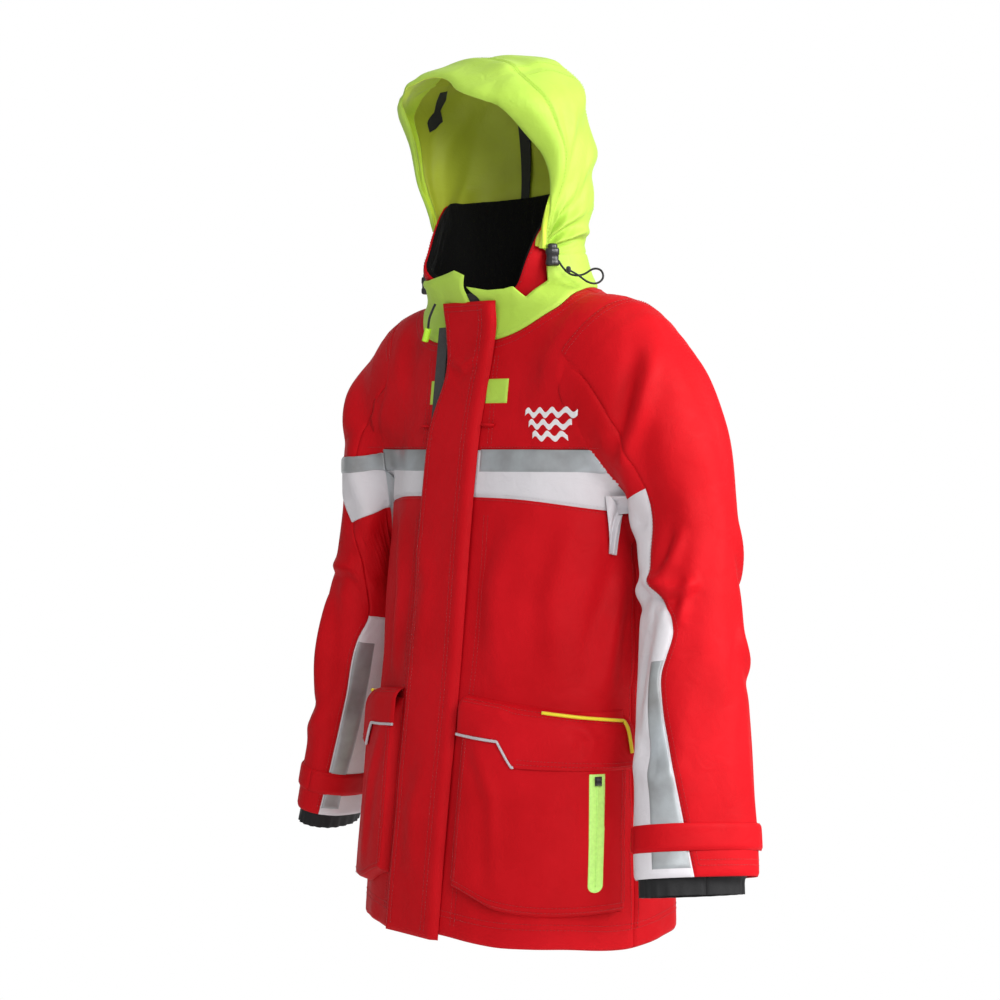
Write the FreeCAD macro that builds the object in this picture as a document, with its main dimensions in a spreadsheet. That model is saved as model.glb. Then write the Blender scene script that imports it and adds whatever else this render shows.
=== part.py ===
import FreeCAD, Part
import functools
import math
import os

import Sketcher
from FreeCAD import Placement, Rotation, Vector

# Foul weather jacket as worn, arms hanging. Millimetres, +Z up, -Y the front, +X the wearer's left.
# The origin is the centre of the neck opening, where the jacket hangs on the wearer.

DIMENSIONS = {
    # body of the jacket
    "hem_height": -765, "hem_half_width": 203, "hem_back_depth": 152,
    "front_depth_at_top": 79.8, "front_slope": 0.1075, "front_roundness": 2.3,
    "cloth": 2.5, "seam_gap": 0.3, "zip_slot": 8,
    # chest band
    "tape_top": -200, "tape_bottom": -225, "band_bottom": -262, "tape_thickness": 0.8,
    # storm flap over the zip
    "flap_half_width": 45, "flap_stand_off": 7, "flap_thickness": 3, "flap_top": -26, "flap_bottom": -764,
    # front zip
    "zip_top": -34, "zip_bottom": -720, "tooth_slit": 0.5, "tooth_reach": 3, "tape_reach": 15,
    "slider_width": 11, "slider_length": 16, "slider_plate": 1.4, "slider_gap": 2.6, "slider_blade": 0.5,
    "pull_length": 24, "pull_width": 7, "pull_thickness": 1.4,
    # cargo pockets
    "pocket_inner_edge": 62, "pocket_side_edge": -12, "pocket_top": -500, "pocket_bottom": -720,
    "pocket_depth": 18, "pocket_flap_top": -482, "pocket_flap_bottom": -566,
    "pocket_zip_top": -570, "pocket_zip_bottom": -696, "pocket_zip_near": -63, "pocket_zip_far": -80,
    # sleeves
    "shoulder_x": 205, "shoulder_z": -120, "shoulder_ball": 115, "cuff_length": 26,
    "tab_near": 28, "tab_far": 60, "tab_thickness": 2.4,
    # collar and hood
    "collar_wall": 2.5, "fleece_wall": 3.5, "hood_wall": 2.5, "lining_wall": 0.8,
    "brim_depth": 30,
    # cord locks
    "lock_radius": 8, "lock_height": 21, "lock_bore": 6.2, "lock_floor": 2, "button_radius": 5.9,
    "button_travel": 4, "cord_hole": 1.8, "cord_diameter": 2.5, "neck_cord_diameter": 3,
    # small pieces
    "loop_radius": 16, "loop_wire": 1.8,
}

LEFT = 1
RIGHT = -1
SIDES = {"left": LEFT, "right": RIGHT}

doc = FreeCAD.newDocument("foul_weather_jacket")
sheet = doc.addObject("Spreadsheet::Sheet", "Sizes")
for row, (alias, value) in enumerate(DIMENSIONS.items(), start=1):
    sheet.set("A%d" % row, alias)
    sheet.set("B%d" % row, str(value))
    sheet.setAlias("B%d" % row, alias)
doc.recompute()

pieces = []


def size(alias):
    """A driving dimension, read from the sheet."""
    return float(sheet.get(alias))


def add_solid(name, shape, placement=None):
    """A sub-part whose shape comes from Part's own functions."""
    feature = doc.addObject("Part::Feature", name)
    feature.Shape = shape
    if placement is not None:
        feature.Placement = placement
    feature.Label = name
    pieces.append(feature)
    return feature


def add_pair(name, shape):
    """A left sub-part and its mirror image on the right."""
    add_solid(name + "_left", shape)
    add_solid(name + "_right", mirrored(shape))


def add_group(name, shape):
    """Both sides of a sub-part as one node: two separate solids."""
    add_solid(name, Part.makeCompound([shape, mirrored(shape)]))


def mirrored(shape):
    return shape.mirror(Vector(0, 0, 0), Vector(1, 0, 0))


def block(low, high):
    """A box between two corners."""
    box = Part.makeBox(high[0] - low[0], high[1] - low[1], high[2] - low[2])
    box.translate(Vector(*low))
    return box


def side_prism(outline, half_width=400):
    """A prism along X from an outline in the side view, given as (y, z) corners."""
    corners = [Vector(-half_width, y, z) for y, z in outline]
    face = Part.Face(Part.makePolygon(corners + corners[:1]))
    return face.extrude(Vector(2 * half_width, 0, 0))


def signed_power(value, exponent):
    return math.copysign(abs(value) ** exponent, value)


def oval(centre, across, along, half_across, front, back, roundness):
    """A closed smooth ring: half_across along the first direction, front and back along the second."""
    points = []
    steps = 28
    for step in range(steps):
        angle = 2 * math.pi * step / steps
        u = half_across * signed_power(math.cos(angle), 2 / roundness)
        depth = back if math.sin(angle) >= 0 else front
        v = depth * signed_power(math.sin(angle), 2 / roundness)
        points.append(centre + across * u + along * v)
    curve = Part.BSplineCurve()
    curve.interpolate(Points=points, PeriodicFlag=True)
    return Part.Wire(curve.toShape())


def loft(rings):
    return Part.makeLoft(rings, True, True)


# ---------------------------------------------------------------- body of the jacket
# (height, half width, back depth, roundness) from the hem up to the top of the neck band
FLATTISH = size("front_roundness")
BODY_RINGS = [
    (size("hem_height"), size("hem_half_width"), size("hem_back_depth"), FLATTISH),
    (-600, 198, 147, FLATTISH),
    (-450, 193, 142, FLATTISH),
    (-300, 191, 136, FLATTISH),
    (-200, 196, 129, FLATTISH),
    (-140, 198, 124, FLATTISH),
    (-95, 197, 117, 2.2),
    (-60, 190, 108, 1.9),
    (-35, 166, 98, 1.7),
    (-10, 108, 77, 2.0),
    (30, 95, 55, 2.1),
]


def front_depth(height):
    """The front is straight down its middle, so that the zip and the storm flap run true."""
    return size("front_depth_at_top") - size("front_slope") * height


@functools.lru_cache(maxsize=None)
def body_solid(offset, extra=0):
    """The outside of the jacket's body, moved out by offset; extra lengthens it at both ends."""
    rings = []
    last = len(BODY_RINGS) - 1
    for index, (height, half_width, back, roundness) in enumerate(BODY_RINGS):
        if index == 0:
            height -= extra
        if index == last:
            height += extra
        rings.append(oval(Vector(0, 0, height), Vector(1, 0, 0), Vector(0, 1, 0), half_width + offset,
                          front_depth(height) + offset, back + offset, roundness))
    return loft(rings)


def body_layer(inner, outer, region=None):
    """A skin between two offsets of the body, inside a region."""
    outside = body_solid(outer)
    if region is not None:
        outside = outside.common(region)
    return outside.cut(body_solid(inner, 5))


# ---------------------------------------------------------------- sleeves
# (centre, direction of the arm, half width across, half width front to back)
SLEEVE_RINGS = [
    ((140, 3, -116), (0.84, 0, -0.54), 79, 70),
    ((188, 3, -135), (0.70, 0, -0.71), 83, 78),
    ((232, 5, -195), (0.42, 0, -0.91), 69, 84),
    ((253, 5, -270), (0.26, -0.02, -0.96), 57, 84),
    ((273, 0, -350), (0.22, -0.08, -0.97), 53, 82),
    ((303, -15, -500), (0.205, -0.11, -0.97), 45, 78),
    ((336, -34, -664), (0.205, -0.12, -0.97), 36, 73),
]
SLEEVE_TURN = math.radians(25)  # the flat of the sleeve turns towards the front
SLEEVE_END = Vector(336, -34, -664)
ARM = Vector(0.205, -0.12, -0.97).normalize()


def sleeve_frame(direction, turn):
    """Directions out of the flat of the sleeve and backwards along it."""
    arm = Vector(*direction).normalize()
    out = Vector(math.cos(turn), -math.sin(turn), 0)
    out = (out - arm * out.dot(arm)).normalize()
    return out, out.cross(arm).normalize()


@functools.lru_cache(maxsize=None)
def sleeve_solid(offset, extra=0):
    rings = []
    last = len(SLEEVE_RINGS) - 1
    for index, (centre, direction, across, along) in enumerate(SLEEVE_RINGS):
        turn = SLEEVE_TURN * min(1, index / 4)
        out, back = sleeve_frame(direction, turn)
        place = Vector(*centre)
        if index == 0:
            place = place - Vector(*direction).normalize() * extra
        if index == last:
            place = place + ARM * extra
        rings.append(oval(place, out, back, across + offset, along + offset, along + offset, 2.1))
    return loft(rings)


CUFF_OUT, CUFF_BACK = sleeve_frame(ARM, SLEEVE_TURN)


def cuff_block(across, along, arm):
    """A box in the cuff's directions: out of the flat, backwards, and up the arm from its end."""
    box = Part.makeBox(across[1] - across[0], along[1] - along[0], arm[1] - arm[0])
    box.translate(Vector(across[0], along[0], arm[0]))
    turn = Rotation(CUFF_OUT, CUFF_BACK, ARM * -1, "ZXY")
    box.Placement = Placement(SLEEVE_END, turn).multiply(box.Placement)
    return box


# ---------------------------------------------------------------- collar and hood
COLLAR_RINGS = [(-15, 84, 74, 50), (30, 84, 90, 50), (75, 87, 92, 54), (112, 90, 88, 58)]
COLLAR_RIM = [(120, 112), (58, 106), (-38, 86), (-58, 60), (-80, 14), (-110, -4), (-200, -4), (-200, 300), (120, 300)]
# (height, half width, front, back)
HOOD_RINGS = [
    (35, 96, -70, 56),
    (80, 104, -84, 60),
    (130, 117, -112, 64),
    (180, 123, -138, 63),
    (220, 116, -154, 52),
    (250, 94, -154, 30),
    (266, 64, -132, 6),
    (274, 34, -104, -24),
]
HOOD_OPENING = [(-32, 0), (-34, 50), (-50, 100), (-84, 160), (-113, 210), (-168, 250), (-400, 250), (-400, 0)]


@functools.lru_cache(maxsize=None)
def collar_solid(offset, extra=0):
    rings = []
    for index, (height, half_width, front, back) in enumerate(COLLAR_RINGS):
        height += extra if index == len(COLLAR_RINGS) - 1 else 0
        height -= extra if index == 0 else 0
        rings.append(oval(Vector(0, 0, height), Vector(1, 0, 0), Vector(0, 1, 0), half_width + offset,
                          front + offset, back + offset, 2.1))
    return loft(rings)


@functools.lru_cache(maxsize=None)
def hood_solid(offset, below=0):
    rings = []
    for index, (height, half_width, front, back) in enumerate(HOOD_RINGS):
        height -= below if index == 0 else 0
        height += offset if index == len(HOOD_RINGS) - 1 else 0
        middle = (front + back) / 2
        depth = (back - front) / 2 + offset
        rings.append(oval(Vector(0, middle, height), Vector(1, 0, 0), Vector(0, 1, 0),
                          half_width + offset, depth, depth, 2.2))
    return loft(rings)


# ---------------------------------------------------------------- panels of the body
gap = size("seam_gap")
cloth = size("cloth")
REACH = 400
body_skin = body_layer(-cloth, 0)
arm_hole = sleeve_solid(0.4)
arm_holes = arm_hole.fuse(mirrored(arm_hole)).common(
    block((-REACH, -REACH, -243), (REACH, REACH, 50)).cut(block((-150, -REACH, -400), (150, REACH, 50))))
NECK_SEAM = [(-200, -100), (-84, -72), (-35, -34), (0, -12), (60, -6), (200, -4), (200, 200), (-200, 200)]
above_neck_seam = side_prism(NECK_SEAM)
body_skin = body_skin.cut(arm_holes)
neck_band = body_skin.common(above_neck_seam)
neck_band = neck_band.cut(block((-24, -REACH, -200), (24, 0, 200)))
neck_band = neck_band.cut(side_prism([(-200, -8), (-62, -8), (-40, 34), (-40, 200), (-200, 200)]))
panels = body_skin.cut(above_neck_seam)

SIDE_SEAM = 8
slot = size("zip_slot")
band = block((-REACH, -REACH, size("band_bottom")), (REACH, REACH, size("tape_top")))
left_front = block((slot, -REACH, -900), (REACH, SIDE_SEAM, 100))
back_half = block((-REACH, SIDE_SEAM, -900), (REACH, REACH, 100))
red_panels = panels.cut(band)


def largest_first(shape):
    return sorted(shape.Solids, key=lambda solid: -solid.Volume)


front = red_panels.common(left_front)
upper_front = front.common(block((0, -REACH, size("tape_top")), (REACH, REACH, 100)))
lower_front = front.common(block((0, -REACH, -900), (REACH, REACH, size("band_bottom"))))
add_pair("chest_panel", largest_first(upper_front)[0])
add_pair("front_panel", largest_first(lower_front)[0])
back = red_panels.common(back_half)
add_solid("back_yoke", largest_first(back.common(block((-REACH, 0, size("tape_top")), (REACH, REACH, 100))))[0])
add_solid("back_panel", largest_first(back.common(block((-REACH, 0, -900), (REACH, REACH, size("band_bottom")))))[0])
band_skin = panels.common(band)
add_pair("chest_band", largest_first(band_skin.common(left_front))[0])
add_solid("back_band", largest_first(band_skin.common(back_half))[0])
add_solid("neck_band", neck_band)

tape_outer = gap + size("tape_thickness")
tape_low = size("tape_bottom")
tape_high = size("tape_top") - 1
arm_clear = sleeve_solid(1.5)
front_tape = body_layer(gap, tape_outer, block((52, -REACH, tape_low), (REACH, SIDE_SEAM - 1, tape_high)))
add_group("reflective_tape_front", largest_first(front_tape.cut(arm_clear))[0])
back_tape = body_layer(gap, tape_outer, block((-REACH, SIDE_SEAM + 1, tape_low), (REACH, REACH, tape_high)))
back_tape = back_tape.cut(arm_clear).cut(mirrored(arm_clear))
add_solid("reflective_tape_back", largest_first(back_tape)[0])

# ---------------------------------------------------------------- shoulder caps and sleeves
shoulder = Vector(size("shoulder_x"), 0, size("shoulder_z"))
ball_inside = Part.makeSphere(size("shoulder_ball") - 0.6, shoulder)
ball_outside = Part.makeSphere(size("shoulder_ball") + 0.6, shoulder)
sleeve_skin = sleeve_solid(0).cut(sleeve_solid(-cloth, 6))
body_clear = body_solid(gap)
cap = sleeve_skin.cut(body_clear).common(ball_inside)
add_pair("shoulder_cap", largest_first(cap)[0])
arm_tube = sleeve_skin.cut(body_clear).cut(ball_outside)
arm_tube = arm_tube.common(block((100, -REACH, -900), (REACH, REACH, shoulder.z - 20)))
arm_tube = largest_first(arm_tube)[0]
gusset_cut = cuff_block((-REACH, -16), (-REACH, REACH), (-40, 330))
add_pair("sleeve", largest_first(arm_tube.cut(gusset_cut))[0])
add_pair("sleeve_gusset", largest_first(arm_tube.common(gusset_cut))[0])
tape_skin = sleeve_solid(gap + size("tape_thickness")).cut(sleeve_solid(gap, 6))
sleeve_tape = tape_skin.common(cuff_block((-REACH, -20), (-45, -10), (64, 230)))
add_pair("sleeve_reflective_strip", largest_first(sleeve_tape)[0])
inner_cuff = sleeve_solid(-3.9, size("cuff_length")).cut(sleeve_solid(-5.9, size("cuff_length") + 6))
inner_cuff = inner_cuff.common(cuff_block((-REACH, REACH), (-REACH, REACH), (-size("cuff_length"), 40)))
add_pair("inner_cuff", largest_first(inner_cuff)[0])
tab = sleeve_solid(1.2 + size("tab_thickness"), 2).cut(sleeve_solid(1.2, 8))
tab = tab.common(cuff_block((4, REACH), (-REACH, REACH), (size("tab_near"), size("tab_far"))))
add_pair("cuff_tab", largest_first(tab)[0])

# ---------------------------------------------------------------- collar
above_rim = side_prism(COLLAR_RIM)
collar_gap = block((-22, -REACH, -200), (22, 0, 200))
wall = size("collar_wall")
fleece = size("fleece_wall")
collar_shell = collar_solid(0).cut(collar_solid(-wall, 5)).cut(above_rim).cut(collar_gap)
add_solid("collar_shell", largest_first(collar_shell)[0])
collar_lining = collar_solid(-wall - 0.6).cut(collar_solid(-wall - fleece, 5)).cut(above_rim).cut(collar_gap)
add_solid("collar_fleece", largest_first(collar_lining)[0])

# ---------------------------------------------------------------- hood
hood_wall = size("hood_wall")
hood_skin = hood_solid(0).cut(hood_solid(-hood_wall, 6))
face_opening = side_prism(HOOD_OPENING)
hood_skin = hood_skin.cut(face_opening)
brim_line = side_prism([(y + size("brim_depth") * 1.2, z) for y, z in
                        [(-90, 196), (-112, 210), (-170, 250), (-170, 320), (-400, 320), (-400, 196)]])
brim = hood_skin.common(brim_line)
add_solid("hood_shell", largest_first(hood_skin.cut(brim_line))[0])
add_solid("hood_brim", largest_first(brim)[0])
lining = hood_solid(-hood_wall - gap).cut(hood_solid(-hood_wall - gap - size("lining_wall"), 6))
lining = lining.cut(face_opening).cut(brim_line)
add_solid("hood_lining", largest_first(lining)[0])
strap = hood_solid(-hood_wall - 2).cut(hood_solid(-hood_wall - 3.6, 6))
add_solid("hood_volume_strap", largest_first(strap.common(block((-64, 20, 118), (-52, 120, 200))))[0])
peak_tab = strap.common(block((-135, -104, 178), (-90, -76, 222)))
add_solid("hood_peak_tab", largest_first(peak_tab)[0])


# ---------------------------------------------------------------- pieces made as PartDesign bodies
def origin_plane(body, role):
    return next(item for item in body.Origin.OriginFeatures if item.Role == role)


def new_body(name, placement=None):
    body = doc.addObject("PartDesign::Body", name)
    body.Label = name
    if placement is not None:
        body.Placement = placement
    pieces.append(body)
    return body


def new_sketch(body, name, role):
    sketch = body.newObject("Sketcher::SketchObject", name)
    sketch.AttachmentSupport = [(origin_plane(body, role), "")]
    sketch.MapMode = "FlatFace"
    return sketch


def draw_polygon(sketch, corners):
    for first, second in zip(corners, corners[1:] + corners[:1]):
        sketch.addGeometry(Part.LineSegment(Vector(*first, 0), Vector(*second, 0)))
    count = len(corners)
    for index in range(count):
        sketch.addConstraint(Sketcher.Constraint("Coincident", index, 2, (index + 1) % count, 1))


def draw_bound_rectangle(sketch, low, high):
    """A rectangle whose sides are bound to sheet expressions: low and high are (x, y) expressions."""
    corners = [(0, 0), (10, 0), (10, 10), (0, 10)]
    draw_polygon(sketch, corners)
    for index, kind in enumerate(("Horizontal", "Vertical", "Horizontal", "Vertical")):
        sketch.addConstraint(Sketcher.Constraint(kind, index))
    places = (("DistanceX", 0, 1, low[0]), ("DistanceY", 0, 1, low[1]),
              ("DistanceX", 2, 1, high[0]), ("DistanceY", 2, 1, high[1]))
    for kind, line, point, expression in places:
        number = sketch.addConstraint(Sketcher.Constraint(kind, -1, 1, line, point, 1.0))
        sketch.setExpression("Constraints[%d]" % number, expression)


def draw_bound_circle(sketch, radius):
    sketch.addGeometry(Part.Circle(Vector(0, 0, 0), Vector(0, 0, 1), 1.0))
    sketch.addConstraint(Sketcher.Constraint("Coincident", 0, 3, -1, 1))
    number = sketch.addConstraint(Sketcher.Constraint("Radius", 0, 1.0))
    sketch.setExpression("Constraints[%d]" % number, radius)


def new_pad(body, sketch, length, symmetric=False, reverse=False):
    pad = body.newObject("PartDesign::Pad", body.Label + "_pad")
    pad.Profile = sketch
    pad.setExpression("Length", length)
    pad.Midplane = symmetric
    pad.Reversed = reverse
    sketch.Visibility = False
    return pad


FRONT_TILT = math.degrees(math.atan(size("front_slope")))
front_frame = Placement(Vector(0, -size("front_depth_at_top"), 0), Rotation(Vector(1, 0, 0), -FRONT_TILT))
stretch = 1 / math.cos(math.radians(FRONT_TILT))  # from height to length along the front


def front_piece(name, x_range, z_range, stand_off, thickness):
    """A strip on the front: x_range and z_range are sheet expressions, z measured down the front."""
    body = new_body(name, front_frame.multiply(Placement(Vector(0, -stand_off, 0), Rotation())))
    sketch = new_sketch(body, name + "_outline", "XZ_Plane")
    draw_bound_rectangle(sketch, (x_range[0], z_range[0]), (x_range[1], z_range[1]))
    new_pad(body, sketch, thickness)
    doc.recompute()
    if body.Shape.BoundBox.YMax > front_frame.Base.y + 120 or body.Tip.Shape.CenterOfMass.y > 0:
        body.Tip.Reversed = True
        doc.recompute()
    return body


front_piece("storm_flap", ("-Sizes.flap_half_width", "Sizes.flap_half_width"),
            ("Sizes.flap_bottom", "Sizes.flap_top"), size("flap_stand_off"), "Sizes.flap_thickness")
front_piece("flap_hook_strip", ("4 - Sizes.flap_half_width", "22 - Sizes.flap_half_width"),
            ("Sizes.flap_bottom + 30", "Sizes.flap_top - 30"), size("flap_stand_off") - 1.2, "1")
front_piece("flap_loop_strip", ("4 - Sizes.flap_half_width", "22 - Sizes.flap_half_width"),
            ("Sizes.flap_bottom + 30", "Sizes.zip_top - 30"), 0.3, "1")
TAPE_BACK = -3.9  # the zip lies behind the edges of the front panels


def zip_halves(name, reach, z_range, stand_off, thickness):
    """The two mirrored halves of a zip part, as one node."""
    ranges = {"left": ("Sizes.tooth_slit", reach), "right": ("-" + reach, "-Sizes.tooth_slit")}
    halves = [front_piece(name + "_" + side, ranges[side], z_range, stand_off, thickness) for side in SIDES]
    for item in halves:
        pieces.remove(item)
    both = doc.addObject("Part::Compound", name)
    both.Links = halves
    both.Label = name
    pieces.append(both)


zip_halves("zip_tapes", "Sizes.tape_reach", ("Sizes.zip_bottom", "Sizes.zip_top"), TAPE_BACK, "0.8")
zip_halves("zip_teeth", "Sizes.tooth_reach", ("Sizes.zip_bottom + 6", "Sizes.zip_top - 4"),
           TAPE_BACK + 0.8, "1.2")
front_piece("zip_end_box", ("-Sizes.tooth_reach", "Sizes.tooth_reach"),
            ("Sizes.zip_bottom - 8", "Sizes.zip_bottom - 0.2"), TAPE_BACK - 0.4, "3")

# The slider is an I in section: two plates round the teeth, joined by a blade in the slit between them.
slider_level = TAPE_BACK + 0.9
slider_body = new_body("zip_slider", front_frame.multiply(Placement(
    Vector(0, -slider_level, (size("zip_top") - 4) * stretch - size("slider_length")), Rotation())))
slider_sketch = new_sketch(slider_body, "slider_section", "XY_Plane")
half = size("slider_width") / 2
space = size("slider_gap") / 2
plate = size("slider_plate")
blade = size("slider_blade") / 2
draw_polygon(slider_sketch, [
    (-half, space), (-blade, space), (-blade, -space), (-half, -space), (-half, -space - plate),
    (half, -space - plate), (half, -space), (blade, -space), (blade, space), (half, space),
    (half, space + plate), (-half, space + plate)])
new_pad(slider_body, slider_sketch, "Sizes.slider_length")

pull_top = (size("zip_top") - 4) * stretch - size("slider_length") + 2
pull_body = new_body("zip_pull", front_frame.multiply(Placement(
    Vector(0, -slider_level - space - plate - 0.4, pull_top), Rotation())))
pull_sketch = new_sketch(pull_body, "pull_outline", "XZ_Plane")
draw_bound_rectangle(pull_sketch, ("-Sizes.pull_width / 2", "-Sizes.pull_length"), ("Sizes.pull_width / 2", "0"))
new_pad(pull_body, pull_sketch, "Sizes.pull_thickness")
doc.recompute()

# ---------------------------------------------------------------- cargo pockets
inner_edge = size("pocket_inner_edge")
side_edge = size("pocket_side_edge")
depth = size("pocket_depth")
pocket_block = block((inner_edge, -REACH, size("pocket_bottom")), (REACH, side_edge, size("pocket_top")))
hollow_block = block((inner_edge + cloth, -REACH, size("pocket_bottom") + cloth),
                     (REACH, side_edge - cloth, size("pocket_top") + 5))
pocket = body_layer(gap, depth, pocket_block)
pocket_hollow = body_layer(gap + cloth, depth - cloth, hollow_block)
add_pair("pocket", largest_first(pocket.cut(pocket_hollow))[0])
flap_block = block((inner_edge - 3, -REACH, size("pocket_flap_bottom")), (REACH, side_edge + 3, size("pocket_flap_top")))
pocket_flap = body_layer(depth + 1, depth + 4, flap_block)
add_pair("pocket_flap", largest_first(pocket_flap)[0])
piping_block = block((inner_edge - 3, -REACH, size("pocket_flap_bottom")),
                     (REACH, side_edge + 3, size("pocket_flap_bottom") + 3))
add_pair("pocket_flap_piping", largest_first(body_layer(depth + 4, depth + 5, piping_block))[0])
zip_block = block((100, size("pocket_zip_far"), size("pocket_zip_bottom")),
                  (REACH, size("pocket_zip_near"), size("pocket_zip_top")))
add_group("pocket_zip_strips", largest_first(body_layer(depth + gap, depth + 1.3, zip_block))[0])
zip_middle = (size("pocket_zip_far") + size("pocket_zip_near")) / 2
runner_block = block((100, zip_middle - 4, size("pocket_zip_top") - 16),
                     (REACH, zip_middle + 4, size("pocket_zip_top") - 2))
add_pair("pocket_zip_slider", largest_first(body_layer(depth + 2.3, depth + 5, runner_block))[0])

# ---------------------------------------------------------------- chest patches and lanyard loops
patch_low = block((52, -REACH, -146), (74, 0, -116))
add_group("chest_patches", largest_first(body_layer(gap, 1.5, patch_low))[0])
loop_outside = body_layer(gap, 6, block((52, -REACH, -178), (70, 0, -170)))
loop_inside = body_layer(gap + 1.5, 4.5, block((54, -REACH, -180), (68, 0, -168)))
add_group("lanyard_loops", largest_first(loop_outside.cut(loop_inside))[0])

# ---------------------------------------------------------------- hanging loop inside the back of the neck
loop = doc.addObject("Part::Torus", "hanging_loop")
loop.Label = "hanging_loop"
loop.setExpression("Radius1", "Sizes.loop_radius")
loop.setExpression("Radius2", "Sizes.loop_wire")
loop.Angle3 = 180
loop.Placement = Placement(Vector(0, 44, 2), Rotation(Vector(1, 0, 0), -90))
pieces.append(loop)

# ---------------------------------------------------------------- cord locks on the hood
LOCK_PLACES = {"left": Vector(104, -40, 12), "right": Vector(-110, -56, -10)}
SPRING_RADIUS = 4.4   # the spring is wound so close that it fills this sleeve
SPRING_WIRE = 0.8
SPRING_HEIGHT = 3.2


def add_cord_lock(side, place):
    barrel = new_body("cord_lock_body_" + side, Placement(place, Rotation()))
    outline = new_sketch(barrel, "barrel_outline_" + side, "XY_Plane")
    draw_bound_circle(outline, "Sizes.lock_radius")
    new_pad(barrel, outline, "Sizes.lock_height")
    doc.recompute()
    bore = new_sketch(barrel, "bore_outline_" + side, "XY_Plane")
    draw_bound_circle(bore, "Sizes.lock_bore")
    bore.setExpression("AttachmentOffset.Base.z", "Sizes.lock_floor")
    cut = barrel.newObject("PartDesign::Pocket", "bore_" + side)
    cut.Profile = bore
    cut.Type = "ThroughAll"
    cut.Reversed = True
    hole = new_sketch(barrel, "cord_hole_" + side, "XZ_Plane")
    hole.setExpression("AttachmentOffset.Base.y", "Sizes.lock_floor + Sizes.cord_hole + 4")
    draw_bound_circle(hole, "Sizes.cord_hole")
    through = barrel.newObject("PartDesign::Pocket", "cord_way_" + side)
    through.Profile = hole
    through.Type = "ThroughAll"
    through.Midplane = True
    doc.recompute()

    button = new_body("lock_button_" + side, Placement(place + Vector(0, 0, 7), Rotation()))
    outline = new_sketch(button, "button_outline_" + side, "XY_Plane")
    draw_bound_circle(outline, "Sizes.button_radius")
    new_pad(button, outline, "Sizes.lock_height - 7 + Sizes.button_travel + 1")
    doc.recompute()

    spring = Part.makeCylinder(SPRING_RADIUS, SPRING_HEIGHT)
    spring = spring.cut(Part.makeCylinder(SPRING_RADIUS - SPRING_WIRE, SPRING_HEIGHT))
    seat = place + Vector(0, 0, size("lock_floor") + 0.6)
    add_solid("lock_spring_" + side, spring, Placement(seat, Rotation()))


# ---------------------------------------------------------------- cords
def cord_tube(points, diameter):
    """A tube along straight runs joined by tangent arcs; prints its radii and checks its volume."""
    places = [Vector(*point) for point in points]
    edges = []
    start = places[0]
    radii = []
    for before, corner, after in zip(places, places[1:], places[2:]):
        come = corner - before
        leave = after - corner
        shorter = min(come.Length, leave.Length)
        half_turn = come.getAngle(leave) / 2
        cut = 0.45 * shorter
        radii.append(round(cut / math.tan(half_turn), 1))
        first = corner - Vector(come).normalize() * cut
        last = corner + Vector(leave).normalize() * cut
        bisector = (Vector(leave).normalize() - Vector(come).normalize()).normalize()
        centre_distance = radii[-1] / math.cos(half_turn)
        radius = cut / math.tan(half_turn)
        middle = corner + bisector * (radius / math.cos(half_turn) - radius)
        edges.append(Part.LineSegment(start, first).toShape())
        edges.append(Part.Arc(first, middle, last).toShape())
        start = last
    edges.append(Part.LineSegment(start, places[-1]).toShape())
    path = Part.Wire(edges)
    circle = Part.makeCircle(diameter / 2, places[0], places[1] - places[0])
    tube = path.makePipeShell([Part.Wire(circle)], True, False)
    section = math.pi * diameter ** 2 / 4
    print("cord length %.0f, radii %s, volume ratio %.3f"
          % (path.Length, radii, tube.Volume / (section * path.Length)))
    return tube


for side, place in LOCK_PLACES.items():
    add_cord_lock(side, place)

HOOD_CORD_ROUTE = [
    (104, -31, 19), (109, -27, 8), (117, -20, 1), (126, -11, 2), (133, -3, 10), (141, 3, 8), (144, 4, -2),
    (140, -3, -9), (133, -12, -7), (125, -19, 2), (116, -26, 8),
]
add_solid("hood_cord_left", cord_tube(HOOD_CORD_ROUTE, size("cord_diameter")))
NECK_CORD_ROUTE = [(-49, -92, -26), (-52, -95, -35), (-57, -96, -45), (-59, -95, -55)]
add_solid("neck_cord_right", cord_tube(NECK_CORD_ROUTE, size("neck_cord_diameter")))
cord_end = doc.addObject("Part::Cylinder", "neck_cord_end_right")
cord_end.Label = "neck_cord_end_right"
cord_end.Radius = 4
cord_end.Height = 16
cord_end.Placement = Placement(Vector(-59, -95, -55), Rotation(Vector(0, 0, 1), Vector(-0.35, -0.05, -1)))
pieces.append(cord_end)

# ---------------------------------------------------------------- check and write
doc.recompute()
for item in doc.Objects:
    if "Invalid" in item.State or "Error" in item.State:
        raise RuntimeError("%s did not build: %s" % (item.Name, item.State))
os.makedirs("parts", exist_ok=True)
for piece in pieces:
    shape = piece.Shape
    if shape.isNull() or not shape.isValid() or not shape.Solids:
        raise RuntimeError("%s has no valid solid" % piece.Label)
for piece in pieces:
    piece.Shape.exportStep("parts/%s.step" % piece.Label)
    box = piece.Shape.BoundBox
    print("%-26s solids %d volume %.0f  x %.0f..%.0f y %.0f..%.0f z %.0f..%.0f" % (
        piece.Label, len(piece.Shape.Solids), piece.Shape.Volume,
        box.XMin, box.XMax, box.YMin, box.YMax, box.ZMin, box.ZMax))
print(len(pieces), "pieces")
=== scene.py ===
import math

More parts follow.
